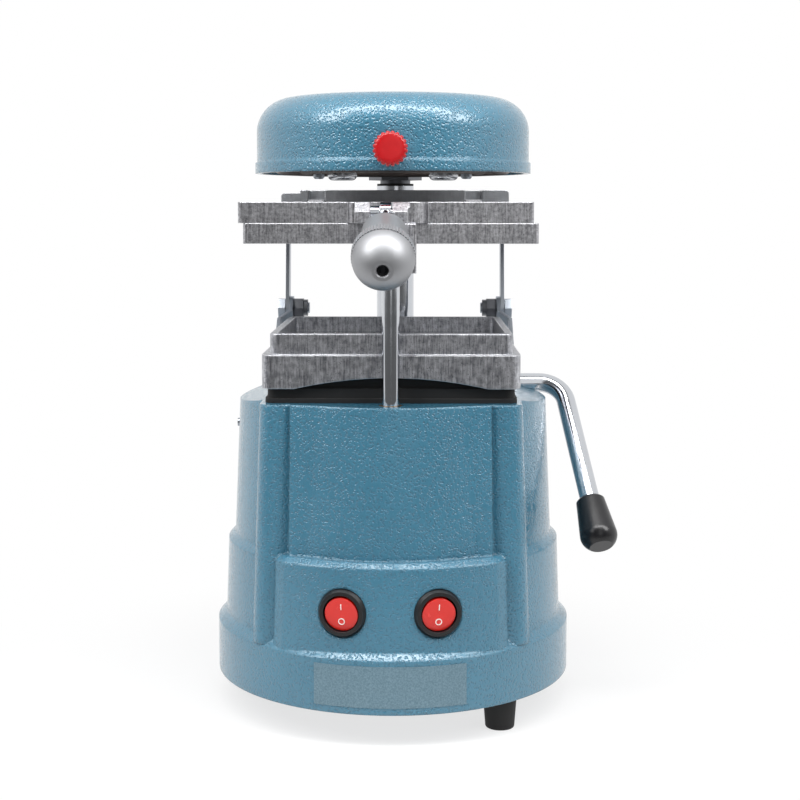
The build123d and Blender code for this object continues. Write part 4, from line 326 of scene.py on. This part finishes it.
def label_film():
    """Clear film stuck over the hammer-tone: its bumps show through, softened."""
    cloud_scale, cloud_low, cloud_high = 1300.0, 0.3, 0.7
    wrinkle_scale, depth, strength = 600.0, 0.0003, 0.7
    least_rough, rough_span = 0.4, 0.12
    tree = finish("label_film", Coat_Weight=0.3, Coat_Roughness=0.25)
    cloud = tree.noise(tree.place(), cloud_scale, 3.0, 0.6)
    wrinkle = tree.noise(tree.place(), wrinkle_scale)
    clouded = tree.between(cloud, cloud_low, cloud_high)
    colour = tree.mix(clouded, rgb(74, 104, 118), rgb(98, 125, 138))
    normal = tree.bump(wrinkle, depth, strength)
    return wear(tree, Base_Color=colour, Roughness=cloud * rough_span + least_rough, Normal=normal)


ENAMEL = hammered_enamel()
FRAME_CASTING = cast_aluminium("frame_casting", rgb(112, 112, 116), rgb(222, 222, 226), 700.0, 0.45, 0.36)
TRAY_CASTING = cast_aluminium("tray_casting", rgb(104, 106, 112), rgb(218, 219, 224), 320.0, 0.5, 0.36)
DARK_CASTING = cast_aluminium("dark_casting", rgb(158, 159, 162), rgb(178, 179, 182), 300.0, 0.3, 0.45)
TURNED_ALUMINIUM = turned_metal("turned_aluminium", rgb(172, 173, 176), 0.50, 1500.0, 0.00003)
CHROME = turned_metal("bright_chrome", rgb(208, 211, 216), 0.10, 3000.0, 0.000004)
ZINC = turned_metal("zinc_plate", rgb(176, 182, 190), 0.30, 1600.0)
DARK_STEEL = turned_metal("dark_steel", rgb(120, 122, 126), 0.4, 1600.0)
BRONZE = turned_metal("sintered_bronze", rgb(176, 138, 84), 0.36, 1800.0)
BRIGHT_SHEET = turned_metal("bright_sheet", rgb(190, 192, 196), 0.22, 700.0)
HEATER_METAL = turned_metal("heater_metal", rgb(92, 84, 80), 0.48, 1500.0)
RUBBER = moulded("black_rubber", rgb(10, 10, 11), 0.7, 1300.0, 0.00006)
BLACK_PLASTIC = moulded("black_plastic", rgb(20, 20, 22), 0.30)
GRIP_PLASTIC = moulded("grip_plastic", rgb(17, 17, 20), 0.28, 900.0, 0.00003)
RED_PLASTIC = moulded("red_plastic", rgb(166, 6, 14), 0.28)
ROCKER_RED = moulded("rocker_red", rgb(200, 34, 26), 0.22)
MARK_WHITE = moulded("mark_white", rgb(236, 232, 228), 0.4)
LABEL_FILM = label_film()

DRESSED = (
    (ENAMEL, "housing hood_shell"),
    (FRAME_CASTING, "lower_frame upper_frame"),
    (TRAY_CASTING, "tray"),
    (DARK_CASTING, "crosshead hood_arm"),
    (TURNED_ALUMINIUM, "clamp_knob"),
    (CHROME, "front_rod column lever_shaft swing_bolt clamp_washer clamp_spacer knob_stud clamp_pin"),
    (ZINC, "link_left link_right link_pin_left link_pin_right crank_arm_left crank_arm_right crank_bolts"),
    (ZINC, "side_screw base_screws hood_screws crosshead_screws column_bolt hinge_pins base_plate"),
    (DARK_STEEL, "crank_nuts hood_collar spindle_nut motor_case motor_clamp motor_stator motor_rotor"),
    (BRONZE, "crosshead_bush rod_bush"),
    (BRIGHT_SHEET, "reflector perforated_plate heater_bosses"),
    (HEATER_METAL, "heater_element"),
    (RUBBER, "gasket_pad feet frame_seal collar_ring motor_seal"),
    (BLACK_PLASTIC, "heat_switch_body vacuum_switch_body cord_gland fuse_holder terminal_block"),
    (GRIP_PLASTIC, "lever_grip"),
    (RED_PLASTIC, "hood_knob"),
    (ROCKER_RED, "heat_rocker vacuum_rocker"),
    (LABEL_FILM, "rating_label"),
)
for material, names in DRESSED:
    for name in names.split():
        for slot in nodes[name].material_slots:
            slot.material = material


def mesh_piece(name, mesh, material, body, replaced=()):
    """Links a finished mesh as a piece of the object that rides on a body."""
    mesh.materials.clear()
    mesh.materials.append(material)
    piece = bpy.data.objects.new(name, mesh)
    bpy.context.scene.collection.objects.link(piece)
    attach(piece, body)
    if replaced:
        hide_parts(*replaced)


# ---------------------------------------------------------------- rocker marks
def rocker_marks(place, body):
    """The line and the ring printed on a rocker, raised a hair above its face."""
    rocker_tilt, face_out = math.radians(9.0), 0.0026
    line_size, line_middle = (0.0004, 0.0028, 0.0003), (0.0, 0.0038, 0.0001)
    ring_inner, ring_outer, ring_height, ring_drop, ring_steps = 0.0012, 0.0016, 0.00025, 0.0034, 36
    joint = next(j for j in frame["joints"] if j["child"] == body)
    across = Vector(joint["axis"]) * (-1 if joint["axis"][0] < 0 else 1)
    upright = Vector((0, 0, 1))
    out = across.cross(upright) * math.cos(rocker_tilt) - upright * math.sin(rocker_tilt)
    up = out.cross(across)
    turn = Matrix((across, up, out)).transposed().to_4x4()
    turn.translation = Vector(joint["pos_m"]) + out * face_out
    built = bmesh.new()
    line = Matrix.Translation(line_middle) @ Matrix.Diagonal((*line_size, 1))
    bmesh.ops.create_cube(built, size=1.0, matrix=line)
    rings = []
    corners = ((ring_inner, 0.0), (ring_inner, ring_height), (ring_outer, ring_height), (ring_outer, 0.0))
    for radius, height in corners:
        ring = []
        for i in range(ring_steps):
            angle = 2 * math.pi * i / ring_steps
            spot = (radius * math.cos(angle), radius * math.sin(angle) - ring_drop, height)
            ring.append(built.verts.new(spot))
        rings.append(ring)
    for first, second in zip(rings, rings[1:] + rings[:1]):
        for i in range(ring_steps):
            after = (i + 1) % ring_steps
            built.faces.new((first[i], first[after], second[after], second[i]))
    bmesh.ops.recalc_face_normals(built, faces=built.faces)
    bmesh.ops.transform(built, matrix=turn, verts=built.verts)
    mesh = bpy.data.meshes.new(place + "_rocker_marks")
    built.to_mesh(mesh)
    built.free()
    mesh_piece(place + "_rocker_marks", mesh, MARK_WHITE, body)


rocker_marks("heat", "heat_switch")
rocker_marks("vacuum", "vacuum_switch")


# ---------------------------------------------------------------- red knob of the hood
def scalloped_knob():
    """A moulded knob: one closed skin, its radius waved by the lobes and its corners rounded."""
    skin_inset, steps_around, steps_along = 0.00002, 361, 41
    side_squareness, face_flatness, lobe_sharpness, lobe_fade = 0.3, 0.45, 2.5, 6.0
    weld_distance = 0.000004
    low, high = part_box("hood_knob")
    grown = Grown(
        "scalloped_knob",
        Radius=(high.x - low.x) / 2 - skin_inset,
        Depth=high.y - low.y,
        Lobes=20,
        Groove=0.00075,
        Place=tuple((low + high) / 2),
    )
    grid_inputs = {"Size X": 1.0, "Size Y": 1.0, "Vertices X": steps_around, "Vertices Y": steps_along}
    grid = grown.node("GeometryNodeMeshGrid", {}, grid_inputs)
    spot = grown.node("ShaderNodeSeparateXYZ", {}, [grown.node("GeometryNodeInputPosition")])
    turn = spot.output("X") * (2 * math.pi)
    lean = (spot.output("Y") + 0.5) * math.pi
    out = lean.of("SINE").at_least(0.0) ** side_squareness
    level = lean.of("COSINE")
    flat = level.of("SIGN") * (level.of("ABSOLUTE") ** face_flatness)
    wave = ((turn * grown.size("Lobes")).of("COSINE") * 0.5 + 0.5) ** lobe_sharpness
    reach = out * (grown.size("Radius") - wave * grown.size("Groove") * (out ** lobe_fade))
    depth = flat * grown.size("Depth") * -0.5
    shaped = grown.vector(reach * turn.of("COSINE"), depth, reach * turn.of("SINE"))
    skin = grown.node("GeometryNodeSetPosition", {}, {"Geometry": grid, "Position": shaped})
    skin = grown.node("GeometryNodeMergeByDistance", {}, {"Geometry": skin, "Distance": weld_distance})
    skin = grown.smooth(grown.moved(skin, grown.size("Place")))
    mesh = grown.mesh(skin, RED_PLASTIC)
    mesh_piece("scalloped_knob", mesh, RED_PLASTIC, "hood", ("hood_knob",))


scalloped_knob()


# ---------------------------------------------------------------- heater coil
def heater_coil():
    """Two rings of sheathed tube and the bars that carry them to the bosses."""
    ring_pitch, tube_fit, bar_share = 0.012, 0.98, 0.8
    ring_steps, tube_steps, bar_steps = 144, 20, 16
    low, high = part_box("heater_element")
    tube = (high.z - low.z) / 2
    outer = (high.x - low.x) / 2 - tube
    grown = Grown(
        "heater_coil",
        Tube=tube * tube_fit,
        Outer=outer,
        Inner=outer - ring_pitch,
        Bar_start=0.0325,
        Height=(low.z + high.z) / 2,
    )

    def circle(steps, radius):
        inputs = {"Resolution": steps, "Radius": radius}
        return grown.node("GeometryNodeCurvePrimitiveCircle", {}, inputs)

    def tube_along(path, profile, capped=False):
        inputs = {"Curve": path, "Profile Curve": profile, "Fill Caps": capped}
        return grown.node("GeometryNodeCurveToMesh", {}, inputs)

    ring_profile = circle(tube_steps, grown.size("Tube"))
    bar_profile = circle(bar_steps, grown.size("Tube") * bar_share)
    parts = [tube_along(circle(ring_steps, grown.size(ring)), ring_profile) for ring in ("Outer", "Inner")]
    for side in (-1.0, 1.0):
        ends = {
            "Start": grown.vector(grown.size("Bar_start") * side),
            "End": grown.vector(grown.size("Outer") * side),
        }
        bar = grown.node("GeometryNodeCurvePrimitiveLine", {}, ends)
        parts.append(tube_along(bar, bar_profile, True))
    coil = grown.moved(grown.joined(*parts), grown.vector(z=grown.size("Height")))
    mesh = grown.mesh(grown.smooth(coil), HEATER_METAL)
    mesh_piece("heater_coil", mesh, HEATER_METAL, "hood", ("heater_element",))


heater_coil()


# ---------------------------------------------------------------- cross-recess screws
def cross_screws(name, replaced, body, places, head_r, head_h, shank_r, shank_l):
    """Domed screws with a cross recess, one at each place under a plate."""
    rim_share, dome_share, dome_top = 0.66, 0.35, 0.72
    recess_width, recess_length, recess_drop = 0.26, 1.15, 1.1
    first_turn, turn_step = 0.4, 0.7
    head_steps, shank_steps = 40, 24
    grown = Grown(
        name,
        Head_radius=head_r,
        Head_height=head_h,
        Shank_radius=shank_r,
        Shank_length=shank_l,
        Recess=head_r * recess_width,
    )
    radius, height = grown.size("Head_radius"), grown.size("Head_height")
    shank_length, recess = grown.size("Shank_length"), grown.size("Recess")
    rim_inputs = {"Vertices": head_steps, "Radius": radius, "Depth": height}
    rim = grown.node("GeometryNodeMeshCylinder", {}, rim_inputs)
    rim = grown.moved(rim, grown.vector(z=height * -0.5))
    rim = grown.moved(rim, scale=(1, 1, rim_share))
    dome_inputs = {
        "Vertices": head_steps,
        "Side Segments": 1,
        "Radius Top": radius,
        "Radius Bottom": radius * dome_top,
        "Depth": height * dome_share,
    }
    dome = grown.node("GeometryNodeMeshCone", {}, dome_inputs)
    dome = grown.moved(dome, grown.vector(z=height * -1.0))
    arm_length = radius * recess_length
    arms = []
    for across, along in ((arm_length, recess), (recess, arm_length)):
        arm = grown.node("GeometryNodeMeshCube", {}, {"Size": grown.vector(across, along, height)})
        arms.append(grown.moved(arm, grown.vector(z=height * -recess_drop)))
    head = grown.solid("DIFFERENCE", Mesh_1=grown.solid("UNION", Mesh_2=[rim, dome]), Mesh_2=arms)
    shank_inputs = {"Vertices": shank_steps, "Radius": grown.size("Shank_radius"), "Depth": shank_length}
    shank = grown.node("GeometryNodeMeshCylinder", {}, shank_inputs)
    screw = grown.joined(head, grown.moved(shank, grown.vector(z=shank_length * 0.5)))
    set_in = [grown.moved(screw, place, (0, 0, first_turn + turn_step * i)) for i, place in enumerate(places)]
    mesh = grown.mesh(grown.joined(*set_in), ZINC)
    mesh_piece(name, mesh, ZINC, body, (replaced,))


def hood_screws():
    head_r, head_h, shank_r = 0.0028, 0.0024, 0.0015
    low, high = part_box("hood_screws")
    shank_l = high.z - low.z - head_h
    places = [(x, (low.y + high.y) / 2, low.z + head_h) for x in (low.x + head_r, high.x - head_r)]
    cross_screws("hood_cross_screws", "hood_screws", "hood", places, head_r, head_h, shank_r, shank_l)


def base_screws():
    head_r, head_h, shank_r = 0.004, 0.0024, 0.002
    circle_r, count, first_angle = 0.0738, 3, 20.0
    low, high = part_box("base_screws")
    shank_l = high.z - low.z - head_h
    turns = [math.radians(first_angle + 360 / count * i) for i in range(count)]
    places = [(circle_r * math.cos(turn), circle_r * math.sin(turn), low.z + head_h) for turn in turns]
    cross_screws("base_cross_screws", "base_screws", "base", places, head_r, head_h, shank_r, shank_l)


hood_screws()
base_screws()


# ---------------------------------------------------------------- floor, light and camera
def studio_floor():
    """White paper to the camera and to gloss, with the part's shadow near it; dim to gloss in front."""
    floor_size, paper_grey = 8.0, (0.85, 0.85, 0.85, 1)
    shadow_share, shadow_near, shadow_far = 0.3, 0.10, 0.26
    front_glow, dim_in_front, full_behind = 0.15, -0.5, -0.12
    bpy.ops.mesh.primitive_plane_add(size=floor_size, location=(0, 0, 0))
    floor = bpy.context.object
    floor.name = "studio_floor"
    tree = Tree(bpy.data.materials.new("studio_floor"))
    tree.nodes.clear()
    seen = tree.node("ShaderNodeLightPath", output="Is Camera Ray")
    mirrored = seen.output("Is Glossy Ray")
    across = tree.node("ShaderNodeSeparateXYZ", {}, [tree.place()])
    behind = tree.between(across.output("Y"), dim_in_front, full_behind)
    paper = tree.node("ShaderNodeBsdfDiffuse", {}, {"Color": paper_grey})
    strength = seen + mirrored * (behind * (1.0 - front_glow) + front_glow)
    glow = tree.node("ShaderNodeEmission", {}, {"Color": (1, 1, 1, 1), "Strength": strength})
    reach = tree.node("ShaderNodeVectorMath", {"operation": "LENGTH"}, [tree.place()], "Value")
    away = tree.between(reach, shadow_near, shadow_far)
    share = (seen + mirrored).clamped() * (away * shadow_share + (1.0 - shadow_share))
    mixed = tree.node("ShaderNodeMixShader", {}, {0: share, 1: paper, 2: glow})
    tree.node("ShaderNodeOutputMaterial", {}, {"Surface": mixed})
    floor.data.materials.append(tree.owner)


def studio_world():
    """White to the camera, a soft fill on surfaces, and a dim front with one gap in what gloss sees."""
    fill, front_dim = 0.42, 0.85
    side_turn, front_turn = 1.5, 0.5
    gap_turn, gap_half, gap_end = 0.12, 0.10, 0.26
    world = bpy.data.worlds.new("studio")
    bpy.context.scene.world = world
    tree = Tree(world)
    tree.nodes.clear()
    seen = tree.node("ShaderNodeLightPath", output="Is Camera Ray")
    mirror = seen.output("Is Glossy Ray")
    direct = (seen + seen.output("Is Transmission Ray")).clamped()
    toward = tree.node("ShaderNodeSeparateXYZ", {}, [tree.node("ShaderNodeTexCoord", output="Generated")])
    turn = toward.math("ARCTAN2", toward.output("X"), toward.output("Y") * -1.0)
    front = tree.between(turn.of("ABSOLUTE"), side_turn, front_turn)
    beside_gap = tree.between((turn - gap_turn).of("ABSOLUTE"), gap_half, gap_end)
    room = 1.0 - front * beside_gap * front_dim
    strength = direct + (1.0 - direct) * (1.0 - mirror) * fill + mirror * room
    sky = tree.node("ShaderNodeBackground", {}, {"Color": (1, 1, 1, 1), "Strength": strength})
    tree.node("ShaderNodeOutputWorld", {}, {"Surface": sky})


def softbox(name, place, width, height, power):
    """A soft lamp turned to the middle of the part."""
    aim = Vector((0.0, 0.0, 0.18))
    lamp = bpy.data.lights.new(name, "AREA")
    lamp.shape = "RECTANGLE"
    lamp.size = width
    lamp.size_y = height
    lamp.energy = power
    holder = bpy.data.objects.new(name, lamp)
    bpy.context.scene.collection.objects.link(holder)
    holder.location = place
    holder.rotation_mode = "QUATERNION"
    holder.rotation_quaternion = (aim - Vector(place)).to_track_quat("-Z", "Y")


def studio_camera():
    """The lens is given by its focal length and shift in pixels of a square frame."""
    frame_pixels, focal_pixels, shift_pixels, rise = 800.0, 1483.3, 7.05, -0.1
    turn, pitch, distance, height = math.radians(0.9), math.radians(4.26), 0.76, 0.2494
    lens = bpy.data.cameras.new("studio_camera")
    lens.sensor_width = 36.0
    lens.lens = focal_pixels / frame_pixels * lens.sensor_width
    lens.shift_x = shift_pixels / frame_pixels
    lens.shift_y = rise
    lens.clip_start = 0.01
    holder = bpy.data.objects.new("studio_camera", lens)
    bpy.context.scene.collection.objects.link(holder)
    holder.location = (distance * math.sin(turn), -distance * math.cos(turn), height)
    holder.rotation_euler = (math.pi / 2 - pitch, 0.0, turn)
    bpy.context.scene.camera = holder


studio_floor()
studio_world()
softbox("overhead", (0.0, -0.42, 1.05), 1.3, 0.26, 11.5)
softbox("left_flash", (-0.70, -0.50, 0.80), 0.35, 0.45, 4.6)
softbox("right_flash", (0.72, -0.45, 0.78), 0.35, 0.45, 4.4)
studio_camera()
bpy.context.scene.view_settings.view_transform = "Standard"
